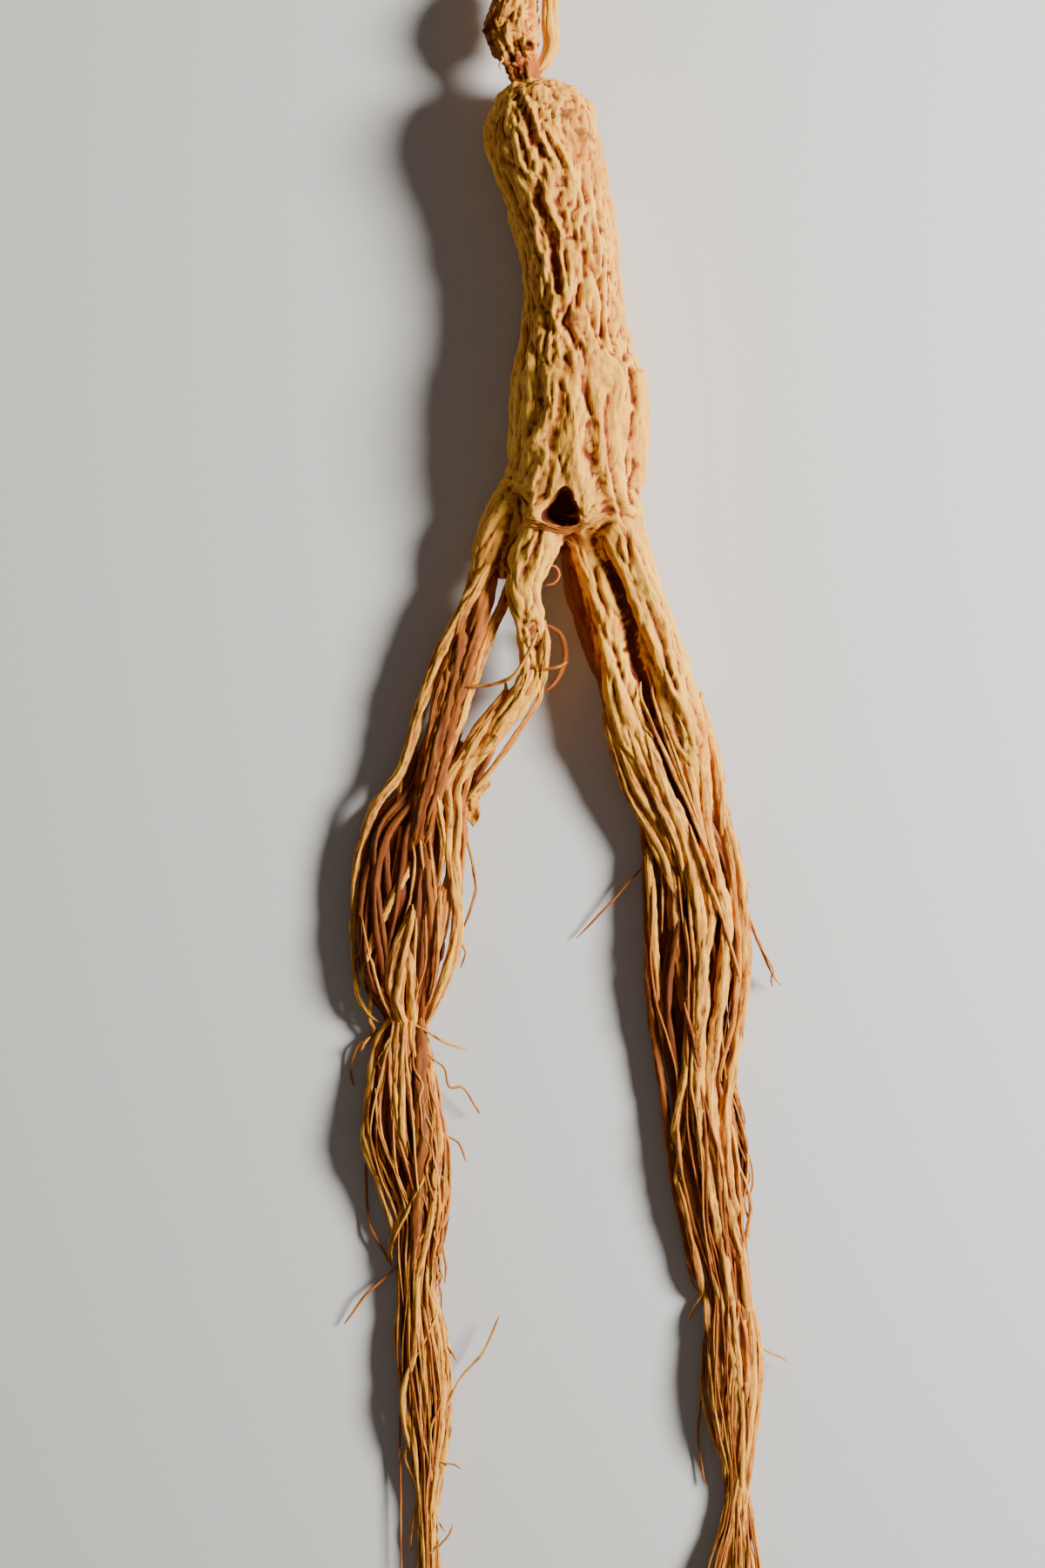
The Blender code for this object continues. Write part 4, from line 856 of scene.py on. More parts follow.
class Bundle:
    """Rootlets gathered into one mesh, with what their material reads."""

    # Depth of a rootlet's winding creases and of the finer ones, as shares of its radius
    CREASE_DEPTH = 0.36
    FINE_DEPTH = 0.18
    # How far from its ends a rootlet dives among the others, and is less brown, in mm
    DIVE_LENGTH = 4.5
    PALE_LENGTH = 6.0

    def __init__(self, seed):
        self.draw = random.Random(seed)
        self.points = []
        self.faces = []
        self.tint = []
        self.hollow = []
        self.grain = []
        self.count = 0

    def knotted(self, radius, gone, line):
        """Uneven radii, with a few small knots at chance places."""
        radius = radius * (1 + 0.1 * noise(line * (1.4, 1, 1), 4) + 0.06 * noise(line * (4.0, 1, 1), 5))
        for _ in range(self.draw.randint(0, 1 + int(gone[-1] / 9))):
            place = self.draw.uniform(0.0, gone[-1])
            swell = self.draw.uniform(0.04, 0.16)
            reach = self.draw.uniform(0.35, 0.9)
            radius = radius * (1 + swell * np.exp(-((gone - place) / reach) ** 2))
        return radius

    def add(self, rows, brown, step, sides, flat=None, rough=1.0, kink=0.09, dive=0.0, bare=0.0):
        """One rootlet along rows of sideways, along, height, radius in mm.

        flat is its height as a share of its width, rough scales its creases and kink its wobble.
        Its ends dive among the others by that many radii, and bare makes its skin paler."""
        draw = self.draw
        route = smooth_route(rows, step)
        start = draw.uniform(0.0, 500.0)
        gone = np.concatenate([[0.0], np.cumsum(np.linalg.norm(np.diff(route[:, :3], axis=0), axis=1))])
        thickest = route[:, 3].max()
        sides = round(sides * (1.0 if thickest < 0.5 else 1.3 if thickest < 0.75 else 1.8))
        line = np.column_stack([gone / 5.0 + start, np.zeros(len(gone)), np.zeros(len(gone))])
        route[:, 0] += kink * noise(line, 1)
        route[:, 1] += kink * noise(line, 2)
        route[:, 2] += 0.5 * kink * noise(line, 3)
        radius = self.knotted(route[:, 3], gone, line)
        ends = np.minimum(gone, gone[-1] - gone)
        radius *= 0.3 + 0.7 * smoothstep(ends, -0.2, 4.0 * thickest)
        route[:, 2] -= dive * route[:, 3] * (1 - smoothstep(ends, 0.0, self.DIVE_LENGTH))
        if flat is None:
            flat = draw.uniform(0.72, 0.98)
        middle, around, angles = tube_rings(route, sides, flat)

        # Creases that wind slowly round the rootlet
        mean = max(route[:, 3].mean(), 0.1)
        reach = 0.75 + 0.75 * mean
        turned = angles[None, :] + 0.10 * draw.uniform(-1, 1) * gone[:, None]
        cells = np.stack([reach * np.cos(turned), reach * np.sin(turned),
                          np.repeat(gone[:, None] / 9.0 + start, sides, axis=1)], axis=2)
        cells = cells.reshape(-1, 3)
        deep = crease(cells, 6).reshape(turned.shape)
        fine = crease(cells * (2.2, 2.2, 3.0), 7).reshape(turned.shape)
        sunk = rough * (self.CREASE_DEPTH * deep ** 1.3 + self.FINE_DEPTH * fine)
        size = radius[:, None] * (1.06 - sunk)
        points = middle[:, None, :] + around * size[:, :, None]
        points[:, :, 2] = np.maximum(points[:, :, 2], 0.0)

        fade = 0.5 + 0.5 * smoothstep(ends, 0.0, self.PALE_LENGTH)
        fade = np.repeat(fade, sides) if dive else 1.0
        tint = np.clip(brown * fade + 0.16 * noise(cells * (1.0, 1.0, 1.6), 8), 0.0, 1.0)
        # Its creases darken it, partly their own colour and partly painted shade, and below paints shade
        # on its lower half
        below = 0.5 * smoothstep(-np.sin(angles), -0.45, 0.5)
        hollow = np.clip(0.1 - bare + 0.6 * deep + 0.2 * fine + below, 0, 1).reshape(-1)
        grain = np.stack([mean * np.cos(turned), mean * np.sin(turned),
                          np.repeat(gone[:, None] + start, sides, axis=1)], axis=2)
        faces = [face[::-1] for face in ring_faces(len(route), sides)]
        self.add_shell(points.reshape(-1, 3), faces, tint, hollow, grain.reshape(-1, 3))

    def add_shell(self, points, faces, tint, hollow, grain):
        self.faces += [tuple(self.count + k for k in face) for face in faces]
        self.points.append(points)
        self.tint.append(tint)
        self.hollow.append(hollow)
        self.grain.append(grain)
        self.count += len(points)

    def finish(self, name):
        piece = new_mesh(name, np.vstack(self.points), self.faces)
        set_attribute(piece.data, "tint", np.concatenate(self.tint))
        set_attribute(piece.data, "hollow", np.concatenate(self.hollow))
        set_attribute(piece.data, "stain", np.zeros(self.count))
        set_attribute(piece.data, "grain", np.vstack(self.grain))
        finish_piece(piece)


# Blender objects


def deselect_all():
    bpy.ops.object.select_all(action="DESELECT")


def new_mesh(name, points, faces):
    """A new object in the scene, from points in mm."""
    mesh = bpy.data.meshes.new(name)
    mesh.from_pydata((np.asarray(points) * MM).tolist(), [], faces)
    mesh.update()
    piece = bpy.data.objects.new(name, mesh)
    bpy.context.scene.collection.objects.link(piece)
    return piece


def read_points(mesh, kind="co"):
    """Places of a mesh's points in metres, or their normals."""
    values = np.empty(3 * len(mesh.vertices))
    mesh.vertices.foreach_get(kind, values)
    return values.reshape(-1, 3)


def write_points(mesh, places):
    """Moves a mesh's points to places in mm."""
    mesh.vertices.foreach_set("co", (places * MM).ravel())
    mesh.update()


def set_attribute(mesh, name, values):
    kind = "FLOAT_VECTOR" if values.ndim == 2 else "FLOAT"
    attribute = mesh.attributes.new(name, kind, "POINT")
    attribute.data.foreach_set("vector" if values.ndim == 2 else "value", values.ravel())


def use_modifier(piece, name, kind, **settings):
    """Adds a modifier and applies it."""
    modifier = piece.modifiers.new(name, kind)
    for setting, value in settings.items():
        setattr(modifier, setting, value)
    deselect_all()
    piece.select_set(True)
    bpy.context.view_layer.objects.active = piece
    bpy.ops.object.modifier_apply(modifier=name)


def neighbours_mean(mesh, places, rounds):
    """Places drawn towards the mean of their neighbours, that many times over."""
    edges = np.empty(2 * len(mesh.edges), dtype=np.int64)
    mesh.edges.foreach_get("vertices", edges)
    a, b = edges.reshape(-1, 2).T
    count = np.bincount(a, minlength=len(places)) + np.bincount(b, minlength=len(places))
    for _ in range(rounds):
        total = np.stack([np.bincount(a, weights=places[b, k], minlength=len(places))
                          + np.bincount(b, weights=places[a, k], minlength=len(places))
                          for k in range(3)], axis=1)
        places = 0.5 * places + 0.5 * total / count[:, None]
    return places


def finish_piece(piece):
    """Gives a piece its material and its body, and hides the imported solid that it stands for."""
    piece.data.shade_smooth()
    piece.data.materials.append(skin_material())
    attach(piece, BODY)
    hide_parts(NODE)


def skin_attributes(mesh, places, grain, stain, tint):
    """Hollow is 0 on a ridge and 1 in a crease, from how the surface lies to its surroundings.

    The material darkens creases by it, partly their own colour and partly painted shade, and tint
    above 1, in the hollow above the fork, adds to it as painted shade.
    """
    out = read_points(mesh, "normal")
    fine = np.sum((neighbours_mean(mesh, places, 3) - places) * out, axis=1)
    broad = np.sum((neighbours_mean(mesh, places, 26) - places) * out, axis=1)
    hollow = np.clip(0.40 + 3.6 * fine + 1.5 * broad, 0.0, 1.0) + np.maximum(tint - 1.0, 0.0)
    set_attribute(mesh, "hollow", hollow)
    set_attribute(mesh, "stain", stain)
    set_attribute(mesh, "tint", tint)
    set_attribute(mesh, "grain", grain)


# Materials


def add_node(tree, kind, values=None, **settings):
    """Adds a node, sets its settings, and sets or links its inputs by name or number."""
    node = tree.nodes.new(kind)
    for setting, value in settings.items():
        setattr(node, setting, value)
    for key, value in (values or {}).items():
        if isinstance(value, bpy.types.NodeSocket):
            tree.links.new(value, node.inputs[key])
        else:
            node.inputs[key].default_value = value
    return node


def maths(tree, operation, *values):
    return add_node(tree, "ShaderNodeMath", dict(enumerate(values)), operation=operation).outputs[0]


def clouds_of(tree, place, scale, detail=2.0, roughness=0.5):
    """Soft noise, 0 to 1, at places that hold real sizes."""
    return add_node(tree, "ShaderNodeTexNoise", {
        "Vector": place, "Scale": scale, "Detail": detail, "Roughness": roughness,
    }).outputs["Fac"]


def stretched(tree, place, scales):
    return add_node(tree, "ShaderNodeVectorMath", {0: place, 1: scales},
                    operation="MULTIPLY").outputs[0]


def mix_colours(tree, share, first, second):
    return add_node(tree, "ShaderNodeMix", {0: share, 6: first, 7: second},
                    data_type="RGBA").outputs[2]


def map_range(tree, value, low, high, to_low=0.0, to_high=1.0):
    return add_node(tree, "ShaderNodeMapRange", {
        "Value": value, "From Min": low, "From Max": high, "To Min": to_low, "To Max": to_high,
    }).outputs["Result"]


def new_material(name):
    """A matt material, with its tree, its shader and the place on the piece."""
    material = bpy.data.materials.new(name)
    material.use_nodes = True
    tree = material.node_tree
    shader = tree.nodes["Principled BSDF"]
    shader.inputs["Specular IOR Level"].default_value = 0.2
    return material, tree, shader, add_node(tree, "ShaderNodeTexCoord").outputs["Object"]


def dried_skin(name, colours):
    """Skin of a washed and dried root: matt, straw-coloured and rubbed pale on the ridges,
    red-brown in its creases, partly where it shrank into them and partly as painted shade, which
    darkens the deepest hollows to rind, with fine lines along it and small dark specks."""
    material, tree, shader, place = new_material(name)
    grain = add_node(tree, "ShaderNodeAttribute", attribute_name="grain").outputs["Vector"]
    hollow, tint, stain = (add_node(tree, "ShaderNodeAttribute", attribute_name=kind).outputs["Fac"]
                           for kind in ("hollow", "tint", "stain"))

    # Lines 0.4 mm apart and about 2 mm long run along the root. Finer ones wouldn't show.
    lines = clouds_of(tree, stretched(tree, grain, (2.4, 2.4, 0.5)), 1.0, 3.0, 0.6)
    # Clouds of browner skin, about 4 mm across and 7 mm long
    clouds = clouds_of(tree, stretched(tree, grain, (0.25, 0.25, 0.14)), 1.0)
    # Freckles of about 1 mm, and dark specks about 3 mm apart
    freckles = clouds_of(tree, place, 700.0, 3.0, 0.7)
    specks = add_node(tree, "ShaderNodeTexVoronoi", {"Vector": place, "Scale": 330.0,
                                                     "Randomness": 1.0}).outputs["Distance"]

    # How deep the skin looks, from its hollows, lines and freckles
    lined = maths(tree, "MULTIPLY_ADD", maths(tree, "ADD", lines, -0.5), 0.9, hollow)
    depth = maths(tree, "MULTIPLY_ADD", maths(tree, "ADD", freckles, -0.5), 0.5, lined)
    # Each coat of colour over the last: share, then colour
    look = colours.ridge
    for share, coat in (
        # Skin and crease by depth: partly the skin's own colours, partly painted shade in its creases
        (map_range(tree, depth, 0.22, 0.55), colours.skin),
        (map_range(tree, depth, 0.55, 0.88), colours.crease),
        (map_range(tree, clouds, 0.45, 0.72, 0.0, 0.45), colours.tan),
        # By tint: own brown, and painted shade on shaded limbs, hidden rootlets, cores, the hollow at
        # the fork
        (map_range(tree, tint, 0.1, 0.65, 0.0, 0.75), colours.tan),
        (map_range(tree, tint, 0.6, 1.0, 0.0, 0.75), colours.rind_and_shade),
        # Painted shade: the deepest hollows darkened to the rind colour
        (map_range(tree, depth, 0.85, 1.15, 0.0, 0.8), colours.rind_and_shade),
        (map_range(tree, stain, 0.0, 0.7, 0.0, 0.95), colours.scar),
        (map_range(tree, specks, 0.06, 0.12, 0.5, 0.0), colours.crease),
    ):
        look = mix_colours(tree, share, look, coat)
    tree.links.new(look, shader.inputs["Base Color"])
    tree.links.new(map_range(tree, lines, 0.3, 0.7, 0.6, 0.85), shader.inputs["Roughness"])

    # Bump: the same lines, up to 0.18 mm high, and a leathery grain of 0.4 mm
    leather = clouds_of(tree, place, 2600.0)
    bump = add_node(tree, "ShaderNodeBump", {
        "Height": maths(tree, "MULTIPLY_ADD", leather, 0.25, lines), "Strength": 0.8,
        "Distance": 0.00018,
    })
    tree.links.new(bump.outputs["Normal"], shader.inputs["Normal"])
    return material


def skin_material():
    """The one skin that all pieces share."""
    found = bpy.data.materials.get("dried_ginseng_skin")
    return found or dried_skin("dried_ginseng_skin", bpy.context.scene.root_colours)


def painted_board(name, colour_value):
    """Smooth board with matt pale paint, faintly stippled. It gives the eye a plain floor."""
    material, tree, shader, place = new_material(name)
    shader.inputs["Roughness"].default_value = 0.9
    dim = tuple(0.96 * value for value in colour_value[:3]) + (1.0,)
    paint = mix_colours(tree, clouds_of(tree, place, 900.0), tuple(colour_value), dim)
    tree.links.new(paint, shader.inputs["Base Color"])
    return material


# Pieces


def rough_skin(name, shells, size):
    """One skin over overlapping closed shells, and its places in mm."""
    points = []
    faces = []
    count = 0
    for shell_points, shell_faces in shells:
        points.append(shell_points)
        faces += [tuple(count + k for k in face) for face in shell_faces]
        count += len(shell_points)
    piece = new_mesh(name, np.vstack(points), faces)
    return piece, meshed_again(piece, size, 8)


def meshed_again(piece, size, rounds):
    """Gives a piece an even mesh, evens it out, and returns its places in mm."""
    use_modifier(piece, "skin", "REMESH", mode="VOXEL", voxel_size=size)
    places = neighbours_mean(piece.data, read_points(piece.data) / MM, rounds)
    write_points(piece.data, places)
    return places


def press_big_forms(mesh, places, seed):
    """Presses the big forms, and the hollow above the fork with its crumbs, into the root."""
    out = read_points(mesh, "normal")
    pixels = to_photo(places)
    places = places + out * carve(pixels, out[:, 2], BIG_FORMS, seed)[:, None]
    inside = rim_distance(pixels, PIT_RIM) + 2.2 * flat_noise(pixels, 4, 0.0, seed)
    down = PIT_DEPTH * smoothstep(inside, -0.5, PIT_WALL) * (out[:, 2] > 0.0)
    away = (pixels - PIT_CRUMBS) / PIT_CRUMBS_REACH
    torn = np.exp(-away[:, 0] ** 2 - away[:, 1] ** 2)
    crumbs = flat_noise(pixels, 2.6, 3.3, seed + 5)
    down *= 1 - 0.75 * smoothstep(torn + 0.6 * crumbs, 0.35, 0.7)
    places[:, 2] -= down
    write_points(mesh, places)


def wrinkles_of(places, out, grain, sizes):
    """How far, in mm, the chance folds, wrinkles, lines and lumps move the main root's skin."""
    facing = smoothstep(out[:, 2], 0.1, 0.6)
    upper = smoothstep(places[:, 1], *UPPER_SKIN)
    limbs = smoothstep(-places[:, 1], *LIMB_SKIN)
    bend = bending(grain, (4, 4, 8), (1.5, 1.5, 0.0))
    bent = grain + bend
    folds = crease(bent / FOLDS_APART, 3) ** 1.3
    wrinkles = crease(bent / WRINKLES_APART, 4) ** 1.2
    lines = crease(bent / LINES_APART, 5)
    cross = crease((bent + 0.8 * bend[:, [2, 2, 0]]) / CROSSWISE_APART, 12) ** 1.5
    amount = (0.7 + 0.6 * noise(grain / (5, 5, 7), 6)) * (0.5 + 0.5 * upper)
    push = -sizes.fold_depth / MM * folds * (1 - 0.75 * facing * (1 - 0.25 * limbs))
    push -= sizes.wrinkle_depth / MM * wrinkles * (amount + 0.35 * limbs)
    push -= sizes.line_depth / MM * lines * (0.7 + 0.5 * upper)
    push -= 0.10 * cross * upper
    push -= 0.11 * crease(bent / FINEST_APART, 18)
    return push + (0.10 + 0.22 * upper) * noise(grain / LUMPS_APART, 14)


def drawn_spots(pixels, out):
    """How far, in mm, the drawn spots stand out of the skin, and how dark they stain it."""
    push = np.zeros(len(pixels))
    stain = np.zeros(len(pixels))
    ragged = pixels + 1.6 * np.stack([flat_noise(pixels, 4, layer, 9) for layer in (0.5, 3.5)], axis=1)
    for x, y, radius, stand, dark in SPOTS:
        away = np.hypot(ragged[:, 0] - x, ragged[:, 1] - y) / radius
        near = np.exp(-away ** 2.5) * (out[:, 2] > 0)
        push += stand * near
        blot = near + 0.5 * flat_noise(pixels, 3.5, x, 15)
        stain = np.maximum(stain, 0.8 * dark * smoothstep(blot, 0.15, 0.95))
    return push, stain


def brownness_and_shade(places, grain):
    """How brown the main root is: patchy, with painted shade on the limbs that lie in shadow, and darker
    at the ends of the left limbs.
    """
    tint = 0.2 + 0.16 * noise(grain / (5, 5, 16), 11) + 0.14 * noise(grain / (1.8, 1.8, 4), 13)
    tint = np.clip(tint, 0, 1) * (0.6 + 0.4 * smoothstep(places[:, 1], -14.0, 4.0))
    # Painted shade on the under right limb, which lies in shadow below the others
    under = off_middle(places, LIMBS["under_right"])
    tint = np.maximum(tint, 0.95 * smoothstep(-under, -1.6, -1.0))
    # Painted shade on the outer left limb, which lies in shadow
    outer = smoothstep(-off_middle(places, LIMBS["outer_left"]), -1.5, -1.0)
    tint = np.maximum(tint, 0.55 * outer * smoothstep(-places[:, 1], 10.0, 24.0))
    return np.maximum(tint, 0.8 * smoothstep(-places[:, 1], 57.0, 62.0) * (places[:, 0] < 0))


def off_middle(places, limb):
    """How many radii each place is away from a limb's middle line."""
    route = smooth_route(limb, LIMB_STEP)
    order = np.argsort(route[:, 1])
    x, z, r = (np.interp(places[:, 1], route[order, 1], route[order, k]) for k in (0, 2, 3))
    return np.hypot(places[:, 0] - x, places[:, 2] - z) / r


class GINSENG_OT_main_root(bpy.types.Operator):
    """Models the main root and the limbs that it forks into, as one wrinkled skin"""

    bl_idname = "ginseng.main_root"
    bl_label = "Main root"

    def execute(self, context):
        deselect_all()
        sizes = context.scene.root_sizes
        sections = smooth_route(np.array(BODY_SECTIONS)[:, [1, 0, 4, 2, 3]], SECTION_STEP)
        guides = [np.column_stack([sections[:, :3], 0.5 * (sections[:, 3] + sections[:, 4])])]
        shells = [ring_shell(sections[:, :3], sections[:, 3], sections[:, 4], BODY_SIDES)]
        for limb in LIMBS.values():
            guides.append(smooth_route(limb, LIMB_STEP))
            shells.append(tube_shell(guides[-1], LIMB_SIDES))
        piece, places = rough_skin("main_root", shells, ROUGH_ROOT_MESH)
        mesh = piece.data
        press_big_forms(mesh, places, sizes.seed)
        places = meshed_again(piece, sizes.skin_mesh, 2)

        out = read_points(mesh, "normal")
        pixels = to_photo(places)
        grain = straightened(places, guides)
        spots, stain = drawn_spots(pixels, out)
        push = wrinkles_of(places, out, grain, sizes) + spots
        push += carve(pixels, out[:, 2], CREASES, sizes.seed + 1)
        low = 1 - smoothstep(places[:, 2], 12.5, 14.5)
        deep = smoothstep(rim_distance(pixels, PIT_RIM), -2.0, 3.0) * low * (out[:, 2] > -0.2)
        push *= 1 - 0.6 * deep
        places = neighbours_mean(mesh, places + out * push[:, None], 1)
        places[:, 2] = np.maximum(places[:, 2], 0.0)
        write_points(mesh, places)
        # Painted shade: inside the hollow above the fork, tint rises to 1.4 and darkens it to rind
        tint = np.maximum(brownness_and_shade(places, grain), 1.4 * deep)
        skin_attributes(mesh, places, grain, stain, tint)
        finish_piece(piece)
        return {"FINISHED"}


def stem_scars():
    """Middle of each stem scar and the direction that it faces."""
    for place, facing in STEM_SCARS:
        yield np.array(place), np.array(facing) / np.linalg.norm(facing)


def scar_marks(places):
    """How far, in mm, the scars' rims and hollows move the neck's skin, and their stain."""
    push = np.zeros(len(places))
    stain = np.zeros(len(places))
    for middle, outward in stem_scars():
        offset = places - (middle + outward * SCAR_HEIGHT)
        above = offset @ outward
        flat = np.linalg.norm(offset - above[:, None] * outward, axis=1) / SCAR_RADIUS
        near = above > -0.9
        push -= 0.9 * np.exp(-(flat / 0.42) ** 4) * near
        push += 0.22 * np.exp(-((flat - 0.72) / 0.16) ** 2) * near
        stain = np.maximum(stain, 0.95 * np.exp(-(flat / 0.55) ** 4) * near)
    return push, stain


class GINSENG_OT_neck(bpy.types.Operator):
    """Models the knobbly neck with its stem scars, and the pale band that grows up beside it"""

    bl_idname = "ginseng.neck"
    bl_label = "Neck"

    def execute(self, context):
        deselect_all()
        sizes = context.scene.root_sizes
        route = smooth_route(NECK, NECK_STEP)
        shells = [tube_shell(route, LIMB_SIDES)]
        for middle, outward in stem_scars():
            rows = [(*(middle - outward * SCAR_RADIUS), 0.8 * SCAR_RADIUS),
                    (*middle, SCAR_RADIUS), (*(middle + outward * SCAR_HEIGHT), 0.72 * SCAR_RADIUS)]
            shells.append(tube_shell(smooth_route(rows, SCAR_STEP), LIMB_SIDES))
        piece, _ = rough_skin("neck", shells, ROUGH_NECK_MESH)
        places = meshed_again(piece, sizes.neck_mesh, 2)
        mesh = piece.data
        out = read_points(mesh, "normal")
        grain = straightened(places, [route])
        bent = grain + bending(grain, 3, (0.7, 0.7, 0.5))
        push, stain = scar_marks(places)
        push -= 0.75 * crease(bent / (2.2, 2.2, 8), 4) ** 1.3
        push -= 0.35 * crease(bent / (0.9, 0.9, 4), 5)
        push -= 0.25 * crease(bent / (3.0, 3.0, 1.4), 6) ** 2
        push += 0.35 * noise(grain / 2.4, 7)
        places = places + out * push[:, None]
        write_points(mesh, places)
        pixels = to_photo(places)
        for x, y, radius in NECK_BLOTS:
            away = np.hypot(pixels[:, 0] - x, pixels[:, 1] - y) / radius
            blot = np.exp(-away ** 2) + 0.5 * noise(places / 0.8, 12)
            stain = np.maximum(stain, 0.9 * smoothstep(blot, 0.4, 0.75) * (out[:, 2] > 0))
        tint = np.clip(0.3 + 0.3 * noise(grain / (2.2, 2.2, 5), 11), 0, 1)
        tint = np.maximum(tint, 0.8 * smoothstep(-grain[:, 0], 2.2, 3.6))
        tint = np.maximum(tint, 0.75 * smoothstep(-places[:, 1], -62.5, -60.0))
        skin_attributes(mesh, places, grain, stain, tint)
        finish_piece(piece)

        band = Bundle(sizes.seed + 20)
        for side, up, share, brown in NECK_FIBRES:
            rows = [(x + side, y + 0.3 * side, z + up, share * r) for x, y, z, r in NECK_BAND]
            band.add(rows, brown, 0.6 * sizes.rootlet_step / MM, STRONG_SIDES, flat=0.7, rough=0.8,
                     kink=0.15, bare=0.35)
        band.finish("neck_band")
        return {"FINISHED"}


def leg_rise(half):
    """Half height of a leg where it is that half width."""
    return LEG_LEAST_HALF_HEIGHT + LEG_FLATNESS * half


def leg_section(stations, along):
    """Middle, half width and half height of a leg at a place along it."""
    table = np.array(stations)[::-1]
    middle, half = (np.interp(along, table[:, 0], table[:, k]) for k in (1, 2))
    return middle, half, leg_rise(half)


def drawn_rootlet(stations, rootlet):
    """Rows of sideways, along, height, radius for a rootlet drawn in pixels."""
    first, last, width, brown, pixels = rootlet
    most = 0.5 * width * (WIDE_MORE if width > WIDE_PIXELS else NARROW_MORE) / PHOTO_SCALE
    rows = []
    for pixel in pixels:
        share = (pixel[1] - pixels[0][1]) / (pixels[-1][1] - pixels[0][1])
        radius = most * (0.55 + 0.45 * math.sin(math.pi * min(1.0, 0.12 + 0.8 * share)) ** 0.7)
        x, y = from_photo(pixel, PHOTO_LEVEL)
        middle, half, rise = leg_section(stations, y)
        side = min(1.0, abs(x - middle) / half)
        lift = (first + (last - first) * share) * max(rise - radius, 0.1)
        height = rise + lift * math.sqrt(1 - 0.85 * side ** 2)
        rows.append((*from_photo(pixel, height), max(height, radius), radius))
    rows.insert(0, longer(stations, rows[0], RUN_ON))
    if rows[-1][1] > TIPS_FROM:
        rows.append(longer(stations, rows[-1], -RUN_ON))
    return rows, brown


def longer(stations, end, far):
    """A row that far past a rootlet's end, as its leg runs."""
    x, y, z, radius = end
    middle, half, _ = leg_section(stations, y)
    past, past_half, _ = leg_section(stations, y + far)
    return past + (x - middle) * past_half / half, y + far, z, radius


def packed_rootlets(bundle, stations, count, step, kind):
    """Rootlets of one kind at levels of a leg, in lanes that wander."""
    levels, radii, browns, steps, sides, short = kind
    draw = bundle.draw
    route = smooth_route(stations, 6.0)
    last = len(route) - 1
    for i in range(count):
        lane = 2 * ((i * 0.618) % 1.0) - 1
        level = levels[i % len(levels)]
        radius = draw.uniform(*radii)
        phase = draw.uniform(0.0, math.tau)
        begin = 0
        end = last - draw.choice((0, 2, 5, 9, 13))
        if short:
            begin = round((last - 8) * draw.uniform(0.0, 1.0) ** 0.55)
            end = min(last, begin + draw.randint(7, 16))
        rows = []
        for k in range(begin, end + 1):
            along, middle, half = route[k]
            rise = leg_rise(half)
            share = (k - begin) / max(1, end - begin)
            thick = radius * (1 - share) + 0.5 * radii[0] * share
            side = max(-1.0, min(1.0, lane + 0.22 * math.sin(phase + along / 9)))
            x = middle + max(0.94 * half - thick, 0.2) * side
            z = rise + level * max(rise - thick, 0.1) * math.sqrt(1 - 0.8 * side * side)
            rows.append((x, along, max(z, thick), thick))
        bundle.add(rows, draw.uniform(*browns), steps * step, sides, dive=1.2)


def packed_core(bundle, stations):
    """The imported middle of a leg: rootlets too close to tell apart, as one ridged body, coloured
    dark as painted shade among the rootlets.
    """
    rows = smooth_route([station for station in stations if station[0] > CORE_END], 0.9)
    along, middle, half = (np.repeat(rows[:, k:k + 1], CORE_SIDES, axis=1) for k in range(3))
    angles = math.tau * np.arange(CORE_SIDES) / CORE_SIDES
    turned = angles + 0.25 * np.sin(along / 21)
    reach = 0.35 * half
    cells = np.stack([reach * np.cos(turned) + 3, reach * np.sin(turned), along / 16], axis=2)
    cells = cells.reshape(-1, 3)
    deep = crease(cells, 16).reshape(turned.shape)
    fine = crease(cells * 2.2, 17).reshape(turned.shape)
    ends = np.minimum(np.arange(len(rows)), np.arange(len(rows))[::-1])[:, None] / 8
    size = (1 - 0.38 * deep - 0.12 * fine) * np.clip(0.2 + ends, 0, 1)
    x = middle + CORE_SHARE * half * np.cos(angles) * size
    z = leg_rise(half) * (0.84 + 0.6 * np.sin(angles) * size)
    points = np.stack([x, along, z], axis=2).reshape(-1, 3)
    # Painted shade: full tint and a high hollow make the core rind-dark
    bundle.add_shell(points, ring_faces(len(rows), CORE_SIDES), np.full(len(points), 1.0),
                     np.clip(0.6 + 0.6 * deep, 0, 1).reshape(-1), points[:, [0, 2, 1]])


def leg(stations, rootlets, seed, sizes, core_from, packed_from):
    """A leg's packed middle, from one station on, its packed rootlets, from another, and then
    the rootlets that show."""
    bundle = Bundle(seed)
    step = sizes.rootlet_step / MM
    packed_core(bundle, stations[core_from:])
    packed = stations[packed_from:]
    packed_rootlets(bundle, packed, sizes.hidden_rootlets, step, HIDDEN_KIND)
    packed_rootlets(bundle, packed, sizes.thin_rootlets, step, THIN_KIND)
    for rootlet in rootlets:
        rows, brown = drawn_rootlet(stations, rootlet)
        bundle.add(rows, brown, step, sizes.rootlet_sides, dive=1.8)
    return bundle


def tangle(bundle, stations, top, bottom, lanes, count):
    """Thin wiggly rootlets that tangle along one side of a leg."""
    draw = bundle.draw
    for _ in range(count):
        lane = draw.uniform(*lanes)
        begin = draw.uniform(bottom + 8.0, top)
        end = max(bottom, begin - draw.uniform(12.0, 28.0))
        thick = draw.uniform(0.13, 0.26)
        rows = []
        for along in np.linspace(begin, end, 9):
            middle, half, rise = leg_section(stations, along)
            side = lane + draw.uniform(-0.1, 0.1)
            arch = math.sqrt(max(0.0, 1 - min(1.0, side ** 2)))
            rows.append((middle + half * side, along, rise * (1.0 + 0.9 * arch), thick))
        bundle.add(rows, draw.uniform(0.2, 0.7), STRAY_STEP, FIBRE_SIDES, kink=0.16, dive=1.5)


